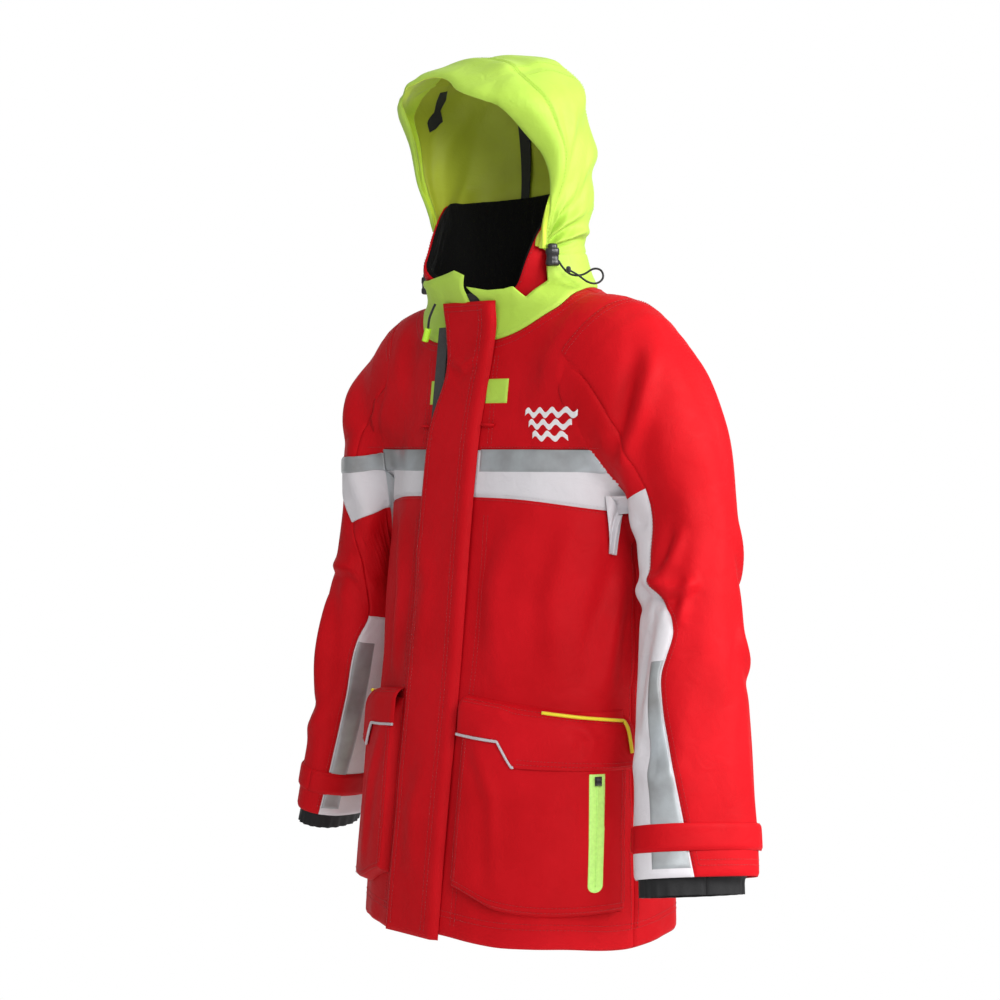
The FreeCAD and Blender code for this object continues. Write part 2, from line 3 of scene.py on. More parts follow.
import bpy
import numpy as np
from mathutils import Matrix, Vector


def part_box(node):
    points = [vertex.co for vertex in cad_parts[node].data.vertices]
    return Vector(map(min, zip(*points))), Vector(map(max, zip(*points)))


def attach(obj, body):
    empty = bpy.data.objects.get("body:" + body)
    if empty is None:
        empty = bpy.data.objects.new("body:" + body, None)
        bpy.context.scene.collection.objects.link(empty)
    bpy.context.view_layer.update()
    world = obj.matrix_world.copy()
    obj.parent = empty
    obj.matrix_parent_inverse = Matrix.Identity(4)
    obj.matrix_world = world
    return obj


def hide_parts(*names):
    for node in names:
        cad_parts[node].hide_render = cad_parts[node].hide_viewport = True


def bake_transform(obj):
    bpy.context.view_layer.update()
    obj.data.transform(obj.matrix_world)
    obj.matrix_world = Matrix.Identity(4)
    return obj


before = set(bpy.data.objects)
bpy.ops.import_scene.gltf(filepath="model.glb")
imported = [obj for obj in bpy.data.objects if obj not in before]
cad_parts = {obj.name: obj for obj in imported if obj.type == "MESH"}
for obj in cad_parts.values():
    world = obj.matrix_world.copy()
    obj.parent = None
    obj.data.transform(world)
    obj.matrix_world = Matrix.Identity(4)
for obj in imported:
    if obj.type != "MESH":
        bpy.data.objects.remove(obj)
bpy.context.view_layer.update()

# Foul weather jacket. Metres, +Z up, -Y the front, +X the wearer's left, origin at the neck opening.
LEFT, RIGHT = 1, -1
SIDES = (("left", LEFT), ("right", RIGHT))

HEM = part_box("front_panel_left")[0][2]
TAPE_TOP = -0.200
TAPE_BOTTOM = -0.225
FLAP_EDGE = 0.045        # half width of the storm flap
SLOT = 0.008             # half width of the gap for the zip
POCKET_DEPTH = 0.014


# ---------------------------------------------------------------- smooth curves and fields
def smooth(x, keys, values):
    """A smooth curve through (key, value) pairs, flat beyond its ends."""
    keys = np.asarray(keys, float)
    values = np.asarray(values, float)
    x = np.clip(np.asarray(x, float), keys[0], keys[-1])
    slopes = np.gradient(values, keys)
    index = np.clip(np.searchsorted(keys, x, side="right") - 1, 0, len(keys) - 2)
    width = keys[index + 1] - keys[index]
    t = (x - keys[index]) / width
    low, high = values[index], values[index + 1]
    return ((2 * t ** 3 - 3 * t ** 2 + 1) * low + (t ** 3 - 2 * t ** 2 + t) * width * slopes[index]
            + (3 * t ** 2 - 2 * t ** 3) * high + (t ** 3 - t ** 2) * width * slopes[index + 1])


def step(x, low, high):
    """0 below low, 1 above high, smooth between."""
    t = np.clip((np.asarray(x, float) - low) / (high - low), 0, 1)
    return t * t * (3 - 2 * t)


def pair(u, v):
    """Two arrays of numbers brought to one shape."""
    return np.broadcast_arrays(np.asarray(u, float), np.asarray(v, float))


def furthest(inside, shape, most, rounds):
    """By halving: the furthest distance, from 0 to most, at which inside() still holds."""
    low = np.zeros(shape)
    high = np.full(shape, most)
    for _ in range(rounds):
        middle = (low + high) / 2
        is_in = inside(middle)
        low = np.where(is_in, middle, low)
        high = np.where(is_in, high, middle)
    return low


def signed_power(value, exponent):
    """A power that keeps the sign of its base."""
    return np.sign(value) * np.abs(value) ** exponent


def between(table, row, column):
    """A table's values between its rows and columns."""
    i, j = row.astype(int), column.astype(int)
    fi, fj = row - i, column - j
    return ((table[i, j] * (1 - fj) + table[i, j + 1] * fj) * (1 - fi)
            + (table[i + 1, j] * (1 - fj) + table[i + 1, j + 1] * fj) * fi)


def ripple(u, v, seed, waves, shortest, longest, stretch, height):
    """A smooth random field: waves of many lengths, stretched along v, in metres of height."""
    rng = np.random.default_rng(seed)
    total = np.zeros_like(np.asarray(u, float))
    for _ in range(waves):
        length = rng.uniform(shortest, longest)
        turn = rng.uniform(-0.5, 0.5)
        phase = rng.uniform(0, 2 * math.pi)
        along = u * math.cos(turn) + v * math.sin(turn) / stretch
        total += np.sin(2 * math.pi * along / length + phase) * length / longest
    return total * height / math.sqrt(waves)


def fold(u, v, points, width, height):
    """A soft fold along a path on the cloth: a ridge with a hollow on its right, fading at its ends."""
    best = np.full(np.shape(u), 1e9)
    signed = np.zeros(np.shape(u))
    along = np.zeros(np.shape(u))
    lengths = [math.dist(a, b) for a, b in zip(points, points[1:])]
    total = sum(lengths)
    done = 0.0
    for (au, av), (bu, bv), length in zip(points, points[1:], lengths):
        du, dv = (bu - au) / length, (bv - av) / length
        t = np.clip((u - au) * du + (v - av) * dv, 0, length)
        pu, pv = u - (au + du * t), v - (av + dv * t)
        distance = np.hypot(pu, pv)
        nearer = distance < best
        best = np.where(nearer, distance, best)
        signed = np.where(nearer, distance * np.sign(pu * dv - pv * du), signed)
        along = np.where(nearer, (done + t) / total, along)
        done += length
    fade = np.clip(4 * along * (1 - along), 0, 1) ** 0.7
    ridge = np.exp(-(signed / width) ** 2) - 0.55 * np.exp(-((signed - 1.5 * width) / width) ** 2)
    return height * ridge * fade


# ---------------------------------------------------------------- the body of the jacket
# height, half width, depth of the back, roundness of the section
BODY_RINGS = np.array([
    (-0.765, 0.203, 0.152, 2.3), (-0.600, 0.198, 0.147, 2.3), (-0.450, 0.193, 0.142, 2.3),
    (-0.300, 0.191, 0.136, 2.3), (-0.200, 0.196, 0.129, 2.3), (-0.140, 0.198, 0.124, 2.3),
    (-0.095, 0.197, 0.117, 2.2), (-0.060, 0.190, 0.108, 1.9), (-0.035, 0.166, 0.098, 1.7),
    (-0.010, 0.108, 0.077, 2.0), (0.030, 0.095, 0.055, 2.1), (0.060, 0.095, 0.055, 2.1)])
FRONT_TOP_DEPTH = 0.0798
FRONT_SLOPE = 0.1075


def ring_value(z, column):
    """A measure of the body's rings at a height, rounded off between the rings."""
    return np.interp(z, BODY_RINGS[:, 0], BODY_RINGS[:, column]) * 0.5 + \
        smooth(z, BODY_RINGS[:, 0], BODY_RINGS[:, column]) * 0.5


def body_at_angle(theta, z):
    """A point of the body at an angle from the front centre, towards the wearer's left."""
    half, back, roundness = (ring_value(z, column) for column in (1, 2, 3))
    front = FRONT_TOP_DEPTH - FRONT_SLOPE * z
    sine, cosine = np.sin(theta), np.cos(theta)
    depth = np.where(cosine >= 0, front, back)
    x = half * signed_power(sine, 2 / roundness)
    y = -depth * signed_power(cosine, 2 / roundness)
    return np.stack([x, y, z + 0 * x], axis=-1)


LEVELS = np.linspace(-0.80, 0.06, 173)
ANGLES = np.linspace(0, math.pi, 721)
SHARES = np.linspace(0, 1, 401)


def girth_tables():
    """Half the girth at each level, and the angle from the front at each share of it."""
    steps = np.linalg.norm(np.diff(body_at_angle(ANGLES[None, :], LEVELS[:, None]), axis=1), axis=-1)
    run = np.concatenate([np.zeros((len(LEVELS), 1)), np.cumsum(steps, axis=1)], axis=1)
    return run[:, -1], np.array([np.interp(SHARES, row / row[-1], ANGLES) for row in run])


HALF_GIRTH, ANGLE_TABLE = girth_tables()


def half_girth(z):
    """The distance round the body from the front centre to the back centre."""
    return np.interp(z, LEVELS, HALF_GIRTH)


def wrap_share(h):
    """A share of the girth brought to -1 (right) .. 1 (left), with 0 at the front centre."""
    return (np.asarray(h, float) + 1) % 2 - 1


def body_base(h, z):
    """The body by share of its girth: 0 the front centre, 0.5 the left side, 1 the back centre."""
    h = wrap_share(h)
    z = np.asarray(z, float)
    row = np.clip((z - LEVELS[0]) / (LEVELS[1] - LEVELS[0]), 0, len(LEVELS) - 1.001)
    column = np.clip(np.abs(h) / (SHARES[1] - SHARES[0]), 0, len(SHARES) - 1.001)
    return body_at_angle(between(ANGLE_TABLE, row, column) * np.sign(h + 1e-12), z)


BODY_FOLDS = [
    # path as (distance from the front centre, height), width, height of the fold
    ([(0.300, -0.270), (0.275, -0.340), (0.270, -0.470)], 0.015, 0.013),
    ([(0.262, -0.300), (0.235, -0.400), (0.225, -0.480)], 0.017, 0.009),
    ([(0.330, -0.290), (0.325, -0.380), (0.345, -0.480)], 0.015, 0.012),
    ([(0.235, -0.120), (0.180, -0.165), (0.120, -0.185)], 0.020, 0.004),
    ([(0.225, -0.080), (0.190, -0.110), (0.130, -0.115)], 0.016, 0.0035),
    ([(0.110, -0.270), (0.085, -0.360), (0.095, -0.470)], 0.018, 0.005),
    ([(0.180, -0.275), (0.160, -0.370), (0.175, -0.470)], 0.016, 0.004),
    ([(0.260, -0.600), (0.300, -0.650), (0.300, -0.740)], 0.020, 0.004),
    ([(-0.110, -0.275), (-0.090, -0.370), (-0.100, -0.470)], 0.016, 0.008),
    ([(-0.235, -0.125), (-0.180, -0.160), (-0.120, -0.175)], 0.020, 0.004),
    ([(-0.290, -0.280), (-0.265, -0.360), (-0.270, -0.480)], 0.017, 0.008),
    ([(-0.190, -0.280), (-0.170, -0.380), (-0.185, -0.470)], 0.016, 0.004),
    ([(0.430, -0.250), (0.470, -0.330), (0.500, -0.480)], 0.020, 0.008),
    ([(0.520, -0.240), (0.540, -0.330), (0.530, -0.600)], 0.022, 0.007),
    ([(-0.430, -0.250), (-0.470, -0.330), (-0.490, -0.500)], 0.020, 0.008),
    ([(-0.520, -0.240), (-0.540, -0.350), (-0.520, -0.620)], 0.022, 0.007),
    ([(0.480, -0.120), (0.520, -0.150), (0.560, -0.150)], 0.020, 0.004),
]


def body_wrinkle(h, z):
    """How far the body's cloth moves out: swells, small wrinkles and the larger folds."""
    h = wrap_share(h)
    g = h * half_girth(z)
    calm = 1 - 0.85 * np.exp(-(g / 0.05) ** 2)
    side_swell = ripple(g, z, 11, 9, 0.10, 0.26, 3.0, 0.0042)
    small = ripple(g, z, 12, 14, 0.035, 0.09, 2.2, 0.0014)
    low = step(-z, 0.24, 0.5)
    total = (side_swell * (0.35 + 0.65 * low) + small * (0.5 + 0.5 * low)) * calm
    for points, width, height in BODY_FOLDS:
        total = total + fold(g, z, points, width, height)
    top = step(z, -0.10, -0.02)
    return total * (1 - 0.9 * top)


class Cloth:
    """A surface with its folds: at() gives points moved out along the normal."""

    def __init__(self, base, wrinkle, du, dv, flip=1):
        self.base, self.wrinkle = base, wrinkle
        self.du, self.dv, self.flip = du, dv, flip

    def shape(self, u, v):
        p = self.base(u, v)
        across = self.base(u + self.du, v) - self.base(u - self.du, v)
        up = self.base(u, v + self.dv) - self.base(u, v - self.dv)
        n = np.cross(across, up)
        n /= np.maximum(np.linalg.norm(n, axis=-1, keepdims=True), 1e-12)
        return p, n * self.flip

    def at(self, u, v, off=0.0):
        u, v = pair(u, v)
        p, n = self.shape(u, v)
        move = self.wrinkle(u, v) + off
        return p + n * np.asarray(move)[..., None]


# ---------------------------------------------------------------- sleeves
# centre, direction of the arm, half width across the flat, half width front to back
SLEEVE_RINGS = [
    ((0.140, 0.003, -0.116), (0.84, 0, -0.54), 0.079, 0.070),
    ((0.188, 0.003, -0.135), (0.70, 0, -0.71), 0.083, 0.078),
    ((0.232, 0.005, -0.195), (0.42, 0, -0.91), 0.069, 0.084),
    ((0.253, 0.005, -0.270), (0.26, -0.02, -0.96), 0.057, 0.084),
    ((0.273, 0.000, -0.350), (0.22, -0.08, -0.97), 0.053, 0.082),
    ((0.303, -0.015, -0.500), (0.205, -0.11, -0.97), 0.045, 0.078),
    ((0.336, -0.034, -0.664), (0.205, -0.12, -0.97), 0.036, 0.073),
    ((0.342, -0.037, -0.690), (0.205, -0.12, -0.97), 0.035, 0.072)]
# the sleeves hang differently: how far each hangs back, and how much narrower it is front to back
HANG_BACK = {LEFT: [0, 0.002, 0.011, 0.020, 0.014, 0.006, 0.001, 0], RIGHT: [0, 0, 0, 0, 0, 0, 0, 0]}
NARROWER = {LEFT: [0, 0.004, 0.017, 0.032, 0.029, 0.014, 0.004, 0.004],
            RIGHT: [0, 0, -0.002, -0.003, -0.006, -0.007, -0.002, 0]}
SLEEVE_TURN = math.radians(25)
ARM_MIDDLE = np.array([ring[0] for ring in SLEEVE_RINGS])
ARM_RUN = np.concatenate([[0], np.cumsum(np.linalg.norm(np.diff(ARM_MIDDLE, axis=0), axis=1))])
SLEEVE_HEM = ARM_RUN[6]


def arm_directions():
    """The outward and the forward direction at each ring; the arm turns by degrees down to the elbow."""
    outs, fronts = [], []
    for index, (_, arm, _, _) in enumerate(SLEEVE_RINGS):
        arm = np.array(arm) / np.linalg.norm(arm)
        turn = SLEEVE_TURN * min(1, index / 4)
        out = np.array([math.cos(turn), -math.sin(turn), 0])
        out -= arm * out.dot(arm)
        out /= np.linalg.norm(out)
        outs.append(out)
        fronts.append(-np.cross(out, arm))
    return np.array(outs), np.array(fronts)


ARM_OUT, ARM_FRONT = arm_directions()


def along_arm(s, rows):
    """A point or direction given at each ring of the sleeve, rounded off between them."""
    return np.stack([smooth(s, ARM_RUN, rows[:, k]) for k in range(3)], axis=-1)


def arm_section(s, side):
    """Middle, outward and forward directions and half widths of the sleeve at a distance down the arm."""
    out, front = along_arm(s, ARM_OUT), along_arm(s, ARM_FRONT)
    across = smooth(s, ARM_RUN, [ring[2] for ring in SLEEVE_RINGS])
    along = smooth(s, ARM_RUN, [ring[3] for ring in SLEEVE_RINGS]) - smooth(s, ARM_RUN, NARROWER[side])
    middle = along_arm(s, ARM_MIDDLE) - front * smooth(s, ARM_RUN, HANG_BACK[side])[..., None]
    return middle, out, front, across, along


def sleeve_shape(side):
    """A sleeve drawn on the wearer's left: phi is 0 on the outer face, 90 degrees at the front."""
    def base(phi, s):
        middle, out, front, across, along = arm_section(s, side)
        u = signed_power(np.cos(phi), 0.95) * across
        v = signed_power(np.sin(phi), 0.95) * along
        return middle + out * u[..., None] + front * v[..., None]
    return base


def level_of(s):
    """The height of the sleeve's middle line at a distance down the arm."""
    return smooth(s, ARM_RUN, ARM_MIDDLE[:, 2])


def arm_at(z):
    """The distance down the arm at a height."""
    return np.interp(-np.asarray(z, float), -ARM_MIDDLE[:, 2], ARM_RUN)


ELBOW = float(arm_at(-0.352))
SLEEVE_FOLDS = [
    # path as (distance round the sleeve from its outer face towards the front, distance down the arm)
    ([(0.150, ELBOW + 0.010), (0.105, ELBOW - 0.006), (0.050, ELBOW + 0.004)], 0.010, 0.008),
    ([(0.140, ELBOW - 0.110), (0.120, ELBOW - 0.060), (0.112, ELBOW - 0.010)], 0.016, 0.007),
    ([(0.050, ELBOW + 0.015), (0.062, ELBOW + 0.070), (0.085, ELBOW + 0.170)], 0.016, 0.006),
    ([(0.090, ELBOW - 0.200), (0.100, ELBOW - 0.130), (0.135, ELBOW - 0.060)], 0.018, 0.006),
    ([(0.020, ELBOW + 0.200), (0.060, ELBOW + 0.215), (0.120, ELBOW + 0.190)], 0.014, 0.004),
    ([(-0.060, ELBOW - 0.060), (-0.110, ELBOW - 0.010), (-0.170, ELBOW + 0.010)], 0.014, 0.007),
    ([(-0.050, ELBOW + 0.060), (-0.100, ELBOW + 0.090), (-0.160, ELBOW + 0.080)], 0.014, 0.005),
    ([(-0.190, ELBOW - 0.150), (-0.150, ELBOW - 0.080), (-0.160, ELBOW + 0.040)], 0.016, 0.006),
    ([(0.210, ELBOW - 0.050), (0.185, ELBOW + 0.040), (0.195, ELBOW + 0.120)], 0.014, 0.006),
]


def wrap(phi):
    """An angle brought to -180 .. 180 degrees."""
    return (np.asarray(phi, float) + math.pi) % (2 * math.pi) - math.pi


OWN_FOLDS = {
    LEFT: [([(0.008, 0.055), (0.030, 0.082), (0.050, 0.103), (0.078, 0.130), (0.098, 0.150)], 0.010, 0.011),
           ([(0.030, 0.100), (0.045, 0.170), (0.030, 0.235)], 0.022, 0.005),
           ([(0.085, 0.286), (0.060, 0.299), (0.030, 0.298), (0.008, 0.290)], 0.008, 0.007),
           ([(0.020, 0.290), (0.030, 0.311), (0.036, 0.340)], 0.008, 0.006),
           ([(0.036, 0.230), (0.050, 0.265), (0.072, 0.290)], 0.011, 0.006)],
    RIGHT: [([(0.010, 0.060), (0.050, 0.088), (0.075, 0.120)], 0.026, 0.013),
            ([(0.060, 0.330), (0.070, 0.400), (0.060, 0.470)], 0.024, 0.006)],
}


SLEEVE_RADIUS = 0.068   # turns an angle round the sleeve into a length for the folds


def sleeve_wrinkle(seed, side):
    """The folds of a sleeve; they fade at the seams and at the cuff."""
    def wrinkle(phi, s):
        g = wrap(phi) * SLEEVE_RADIUS
        fade = np.sqrt(np.clip(1 - (wrap(phi) / math.pi) ** 8, 0, 1))
        total = ripple(g, s, seed, 9, 0.07, 0.20, 2.5, 0.0030) * fade
        total = total + ripple(g, s, seed + 1, 14, 0.03, 0.07, 1.2, 0.0010) * fade
        for points, width, height in SLEEVE_FOLDS + OWN_FOLDS[side]:
            total = total + fold(g, s, points, width, height)
        calm = step(s, 0.02, 0.09) * (1 - 0.75 * step(s, SLEEVE_HEM - 0.09, SLEEVE_HEM - 0.04))
        return total * calm
    return wrinkle


def mirrored(base):
    """A shape drawn for the wearer's left, on the right."""
    return lambda u, v: base(u, v) * np.array([-1, 1, 1])


# ---------------------------------------------------------------- where sleeves and body run into each other
def reach_at(z):
    """Size of the soft run-in between body and sleeve: wide over the shoulder, small at the underarm."""
    return 0.014 + 0.034 * step(z, -0.27, -0.18)


def body_distance(p):
    """Distance from the bare body: under 0 inside."""
    z = p[..., 2]
    half, back, roundness = (ring_value(z, column) for column in (1, 2, 3))
    depth = np.where(p[..., 1] < 0, FRONT_TOP_DEPTH - FRONT_SLOPE * z, back)
    across, along = np.abs(p[..., 0]) / half, np.abs(p[..., 1]) / depth
    radius = (across ** roundness + along ** roundness) ** (1 / roundness)
    slant = np.clip((z + 0.075) / 0.06, 0, 1)
    return (radius - 1) * np.minimum(half, depth) * (1 - 0.45 * slant)


ARM_LINE = {side: arm_section(np.linspace(0, ARM_RUN[-1], 60), side) for side in (LEFT, RIGHT)}


def sleeve_distance(p, side):
    """Distance from a sleeve's bare surface, for points given on either side of the body."""
    p = p * np.array([side, 1, 1])
    middle, out, front, across, along = ARM_LINE[side]
    flat = p.reshape(-1, 3)
    gaps = np.linalg.norm(flat[:, None, :] - middle[None, :, :], axis=-1)
    nearest = np.clip(np.argmin(gaps, axis=1), 1, len(middle) - 2)
    offset = flat - middle[nearest]
    arm = middle[nearest + 1] - middle[nearest - 1]
    stride = np.linalg.norm(arm, axis=1)
    shift = np.clip(np.einsum("ij,ij->i", offset, arm / stride[:, None]) / stride * 2, -1, 1)
    low = np.where(shift < 0, nearest - 1, nearest)
    share = np.where(shift < 0, 1 + shift, shift)
    middle_here, out, front = (rows[low] * (1 - share[:, None]) + rows[low + 1] * share[:, None]
                               for rows in (middle, out, front))
    across, along = (row[low] * (1 - share) + row[low + 1] * share for row in (across, along))
    offset = flat - middle_here
    u = np.einsum("ij,ij->i", offset, out) / across
    v = np.einsum("ij,ij->i", offset, front) / along
    distance = (np.sqrt(u * u + v * v) - 1) * np.minimum(across, along)
    first = (middle[1] - middle[0]) / np.linalg.norm(middle[1] - middle[0])
    before = (flat - middle[0]) @ first
    distance = np.where(before < 0, np.hypot(np.maximum(distance, 0), before), distance)
    return distance.reshape(p.shape[:-1])


def run_in(points, normals, side):
    """How far a bare surface moves out along its normal to reach the soft run-in between body and sleeve."""
    def inside(t):
        p = points + normals * t[..., None]
        a, b, reach = body_distance(p), sleeve_distance(p, side), reach_at(p[..., 2])
        close = np.clip(reach - np.abs(a - b), 0, None) / reach
        return np.minimum(a, b) - close * close * reach / 4 < 0

    out = furthest(inside, points.shape[:-1], 0.045, 11)
    return np.where(out < 0.0003, 0.0, out)


class Reached(Cloth):
    """A cloth whose surface first moves out to the soft run-in, looked up in a table for speed."""

    def __init__(self, base, wrinkle, du, dv, flip, sides, us, vs):
        bare = Cloth(base, wrinkle, du, dv, flip)
        u, v = np.meshgrid(us, vs, indexing="ij")
        p, n = bare.shape(u, v)
        table = np.zeros(u.shape)
        for side in sides:
            table = np.maximum(table, run_in(p, n, side))
        for _ in range(2):
            inner = table.copy()
            inner[1:-1, 1:-1] = (table[1:-1, 1:-1] * 4 + table[:-2, 1:-1] + table[2:, 1:-1] + table[1:-1, :-2]
                                 + table[1:-1, 2:]) / 8
            table = inner
        self.us, self.vs, self.table = us, vs, table

        def moved(u, v):
            u, v = pair(u, v)
            q, m = bare.shape(u, v)
            return q + m * self.look_up(u, v)[..., None]

        super().__init__(moved, wrinkle, du, dv, flip)
        self.bare = bare

    def look_up(self, u, v):
        span = self.us[-1] - self.us[0]
        u = (u - self.us[0]) % span
        row = np.clip(u / (self.us[1] - self.us[0]), 0, len(self.us) - 1.001)
        column = np.clip((v - self.vs[0]) / (self.vs[1] - self.vs[0]), 0, len(self.vs) - 1.001)
        return between(self.table, row, column)


ROUND_SLEEVE, DOWN_SLEEVE = np.linspace(-math.pi, math.pi, 121), np.linspace(0, ARM_RUN[-1], 150)
SLEEVE = {side: Reached(shape, sleeve_wrinkle(seed, side), 0.02, 0.003, side, (side,), ROUND_SLEEVE, DOWN_SLEEVE)
          for side, seed, shape in ((LEFT, 31, sleeve_shape(LEFT)), (RIGHT, 47, mirrored(sleeve_shape(RIGHT))))}
body_cloth = Reached(body_base, body_wrinkle, 0.003, 0.003, 1, (LEFT, RIGHT), np.linspace(-1, 1, 361),
                     np.linspace(-0.52, 0.03, 110))

# ---------------------------------------------------------------- hood
# height, half width, front, back
HOOD_RINGS = np.array([
    (-0.02, 0.090, -0.070, 0.052), (0.035, 0.096, -0.070, 0.056), (0.080, 0.104, -0.084, 0.062),
    (0.130, 0.115, -0.112, 0.065), (0.180, 0.117, -0.136, 0.062), (0.218, 0.109, -0.152, 0.055),
    (0.246, 0.086, -0.152, 0.042), (0.262, 0.059, -0.128, 0.030), (0.2705, 0.030, -0.070, 0.012)])
# the face opening seen from the side: height and how far forward
OPENING = np.array([(0.026, -0.043), (0.044, -0.045), (0.080, -0.052), (0.110, -0.055), (0.127, -0.058),
                    (0.150, -0.064), (0.170, -0.077), (0.190, -0.095), (0.206, -0.112), (0.222, -0.122),
                    (0.240, -0.129), (0.255, -0.126), (0.272, -0.118)])
HOOD_PIVOT = np.array([0, -0.042, 0.026])
FACE_LEAN = math.radians(-24)   # the face opening leans forward from upright
NECK_LEAN = math.radians(92)    # the neck seam lies almost level behind

# how much wider the opening's edge stands than the plain dome, by height
WIDER = np.array([(0.026, 0.20), (0.044, 0.28), (0.080, 0.38), (0.110, 0.42), (0.150, 0.38), (0.170, 0.30),
                  (0.190, 0.28), (0.206, 0.24), (0.222, 0.12), (0.240, 0.0), (0.272, 0.0)])

# how the edge is pulled about, from the wearer's left (0) over the peak to the right (1): sideways, up
EDGE_MOVE = np.array([(0, 0, 0), (0.12, 0.005, 0), (0.236, 0.013, 0), (0.294, 0.002, -0.009),
                      (0.353, -0.008, -0.011), (0.441, -0.006, -0.013), (0.50, 0.001, -0.003),
                      (0.559, 0, 0.003), (0.617, 0.011, 0.0105), (0.66, -0.003, 0.004), (0.706, -0.007, 0),
                      (0.77, -0.006, 0), (0.90, -0.014, 0), (1, -0.018, 0)])


def hood_inside(p):
    """Whether points lie inside the plain dome of the hood."""
    x, y, z = p[..., 0], p[..., 1], p[..., 2]
    half = smooth(z, HOOD_RINGS[:, 0], HOOD_RINGS[:, 1])
    front = smooth(z, HOOD_RINGS[:, 0], HOOD_RINGS[:, 2])
    back = smooth(z, HOOD_RINGS[:, 0], HOOD_RINGS[:, 3])
    middle, depth = (front + back) / 2, (back - front) / 2
    dome = np.clip((z - 0.254) / 0.0165, 0, None) ** 2
    return np.abs(x / half) ** 2.15 + np.abs((y - middle) / depth) ** 2.15 + dome < 1


def hood_base(u, v):
    """Fan of arches over the head: u runs from the face opening to the neck seam, v from left to right."""
    u, v = pair(u, v)
    lean = FACE_LEAN + (NECK_LEAN - FACE_LEAN) * u
    rise = np.pi * (0.5 - v)       # +90 degrees at the left end of the arch, 0 over the top
    side = np.sin(rise)
    up = np.cos(rise)
    ray = np.stack([side, up * np.sin(lean), up * np.cos(lean)], axis=-1)
    reach = furthest(lambda t: hood_inside(HOOD_PIVOT + ray * t[..., None]), u.shape, 0.32, 22)
    p = HOOD_PIVOT + ray * reach[..., None]
    straight = HOOD_PIVOT[1] + math.tan(FACE_LEAN) * (p[..., 2] - HOOD_PIVOT[2])
    edge = np.clip(1 - u / 0.36, 0, 1) ** 2
    height = p[..., 2].copy()
    p[..., 1] += edge * (smooth(height, OPENING[:, 0], OPENING[:, 1]) - straight)
    p[..., 0] *= 1 + edge * smooth(height, WIDER[:, 0], WIDER[:, 1])
    p[..., 2] -= edge * 0.020 * step(height, 0.195, 0.255)
    p[..., 0] += edge * smooth(v, EDGE_MOVE[:, 0], EDGE_MOVE[:, 1])
    p[..., 2] += edge * smooth(v, EDGE_MOVE[:, 0], EDGE_MOVE[:, 2])
    return p


# path as (share from the face opening back, share from left to right), width, height of the fold
HOOD_SIDE_FOLDS = [([(0.16, 0.08), (0.28, 0.15), (0.42, 0.20)], 0.030, 0.008),
                   ([(0.34, 0.06), (0.45, 0.12), (0.60, 0.20)], 0.030, 0.008),
                   ([(0.55, 0.05), (0.68, 0.12), (0.80, 0.24)], 0.035, 0.008)]
HOOD_FOLDS = HOOD_SIDE_FOLDS + [([(u, 1 - v) for u, v in path], width, height)
                                for path, width, height in HOOD_SIDE_FOLDS] + [
    ([(0.20, 0.26), (0.32, 0.34), (0.40, 0.44)], 0.030, 0.006),
    ([(0.42, 0.26), (0.52, 0.36), (0.60, 0.46)], 0.034, 0.006),
    ([(0.66, 0.30), (0.76, 0.38), (0.86, 0.46)], 0.036, 0.006),
    ([(0.30, 0.72), (0.42, 0.64), (0.56, 0.60)], 0.034, 0.006),
    ([(0.80, 0.40), (0.88, 0.50), (0.84, 0.62)], 0.050, 0.006),
    ([(0.08, 0.34), (0.14, 0.44), (0.11, 0.56)], 0.030, 0.004)]


def hood_wrinkle(u, v):
    """The folds of the hood and its two long seams; they fade at the ends."""
    total = ripple(u, v, 61, 10, 0.18, 0.5, 1.0, 0.0022) + ripple(u, v, 62, 14, 0.06, 0.14, 1.0, 0.0007)
    for points, width, height in HOOD_FOLDS:
        total = total + fold(u, v, points, width, height)
    seam = np.exp(-((np.abs(v - 0.5) - 0.115) / 0.006) ** 2) * -0.0012
    ends = np.clip(np.minimum(v, 1 - v) / 0.05, 0, 1) * np.clip((1 - u) / 0.06, 0, 1)
    return (total + seam) * ends


hood_cloth = Cloth(hood_base, hood_wrinkle, 0.004, 0.004)


# ---------------------------------------------------------------- meshes
def new_object(name, vertices, faces, material, smooth_shading=True):
    """A mesh object with one material."""
    mesh = bpy.data.meshes.new(name)
    mesh.from_pydata([tuple(p) for p in vertices], [], faces)
    mesh.materials.append(material)
    if smooth_shading:
        mesh.polygons.foreach_set("use_smooth", [True] * len(mesh.polygons))
    mesh.update()
    piece = bpy.data.objects.new(name, mesh)
    bpy.context.scene.collection.objects.link(piece)
    return piece


def stations(count, length, edge=0.0012):
    """Positions from 0 to 1, with extra ones close to each end, where the cloth is turned under."""
    extra = [edge / length, 2.5 * edge / length, 4.5 * edge / length]
    middle = np.linspace(6.5 * edge / length, 1 - 6.5 * edge / length, count)
    return np.concatenate([[0], extra, middle, 1 - np.array(extra[::-1]), [1]])


def edge_run(points, axis):
    """The distance along the cloth to the nearer end of each line of points."""
    steps = np.linalg.norm(np.diff(np.moveaxis(points, axis, 0), axis=0), axis=-1)
    run = np.concatenate([0 * steps[:1], np.cumsum(steps, axis=0)])
    return np.moveaxis(np.minimum(run, run[-1:] - run), 0, axis)


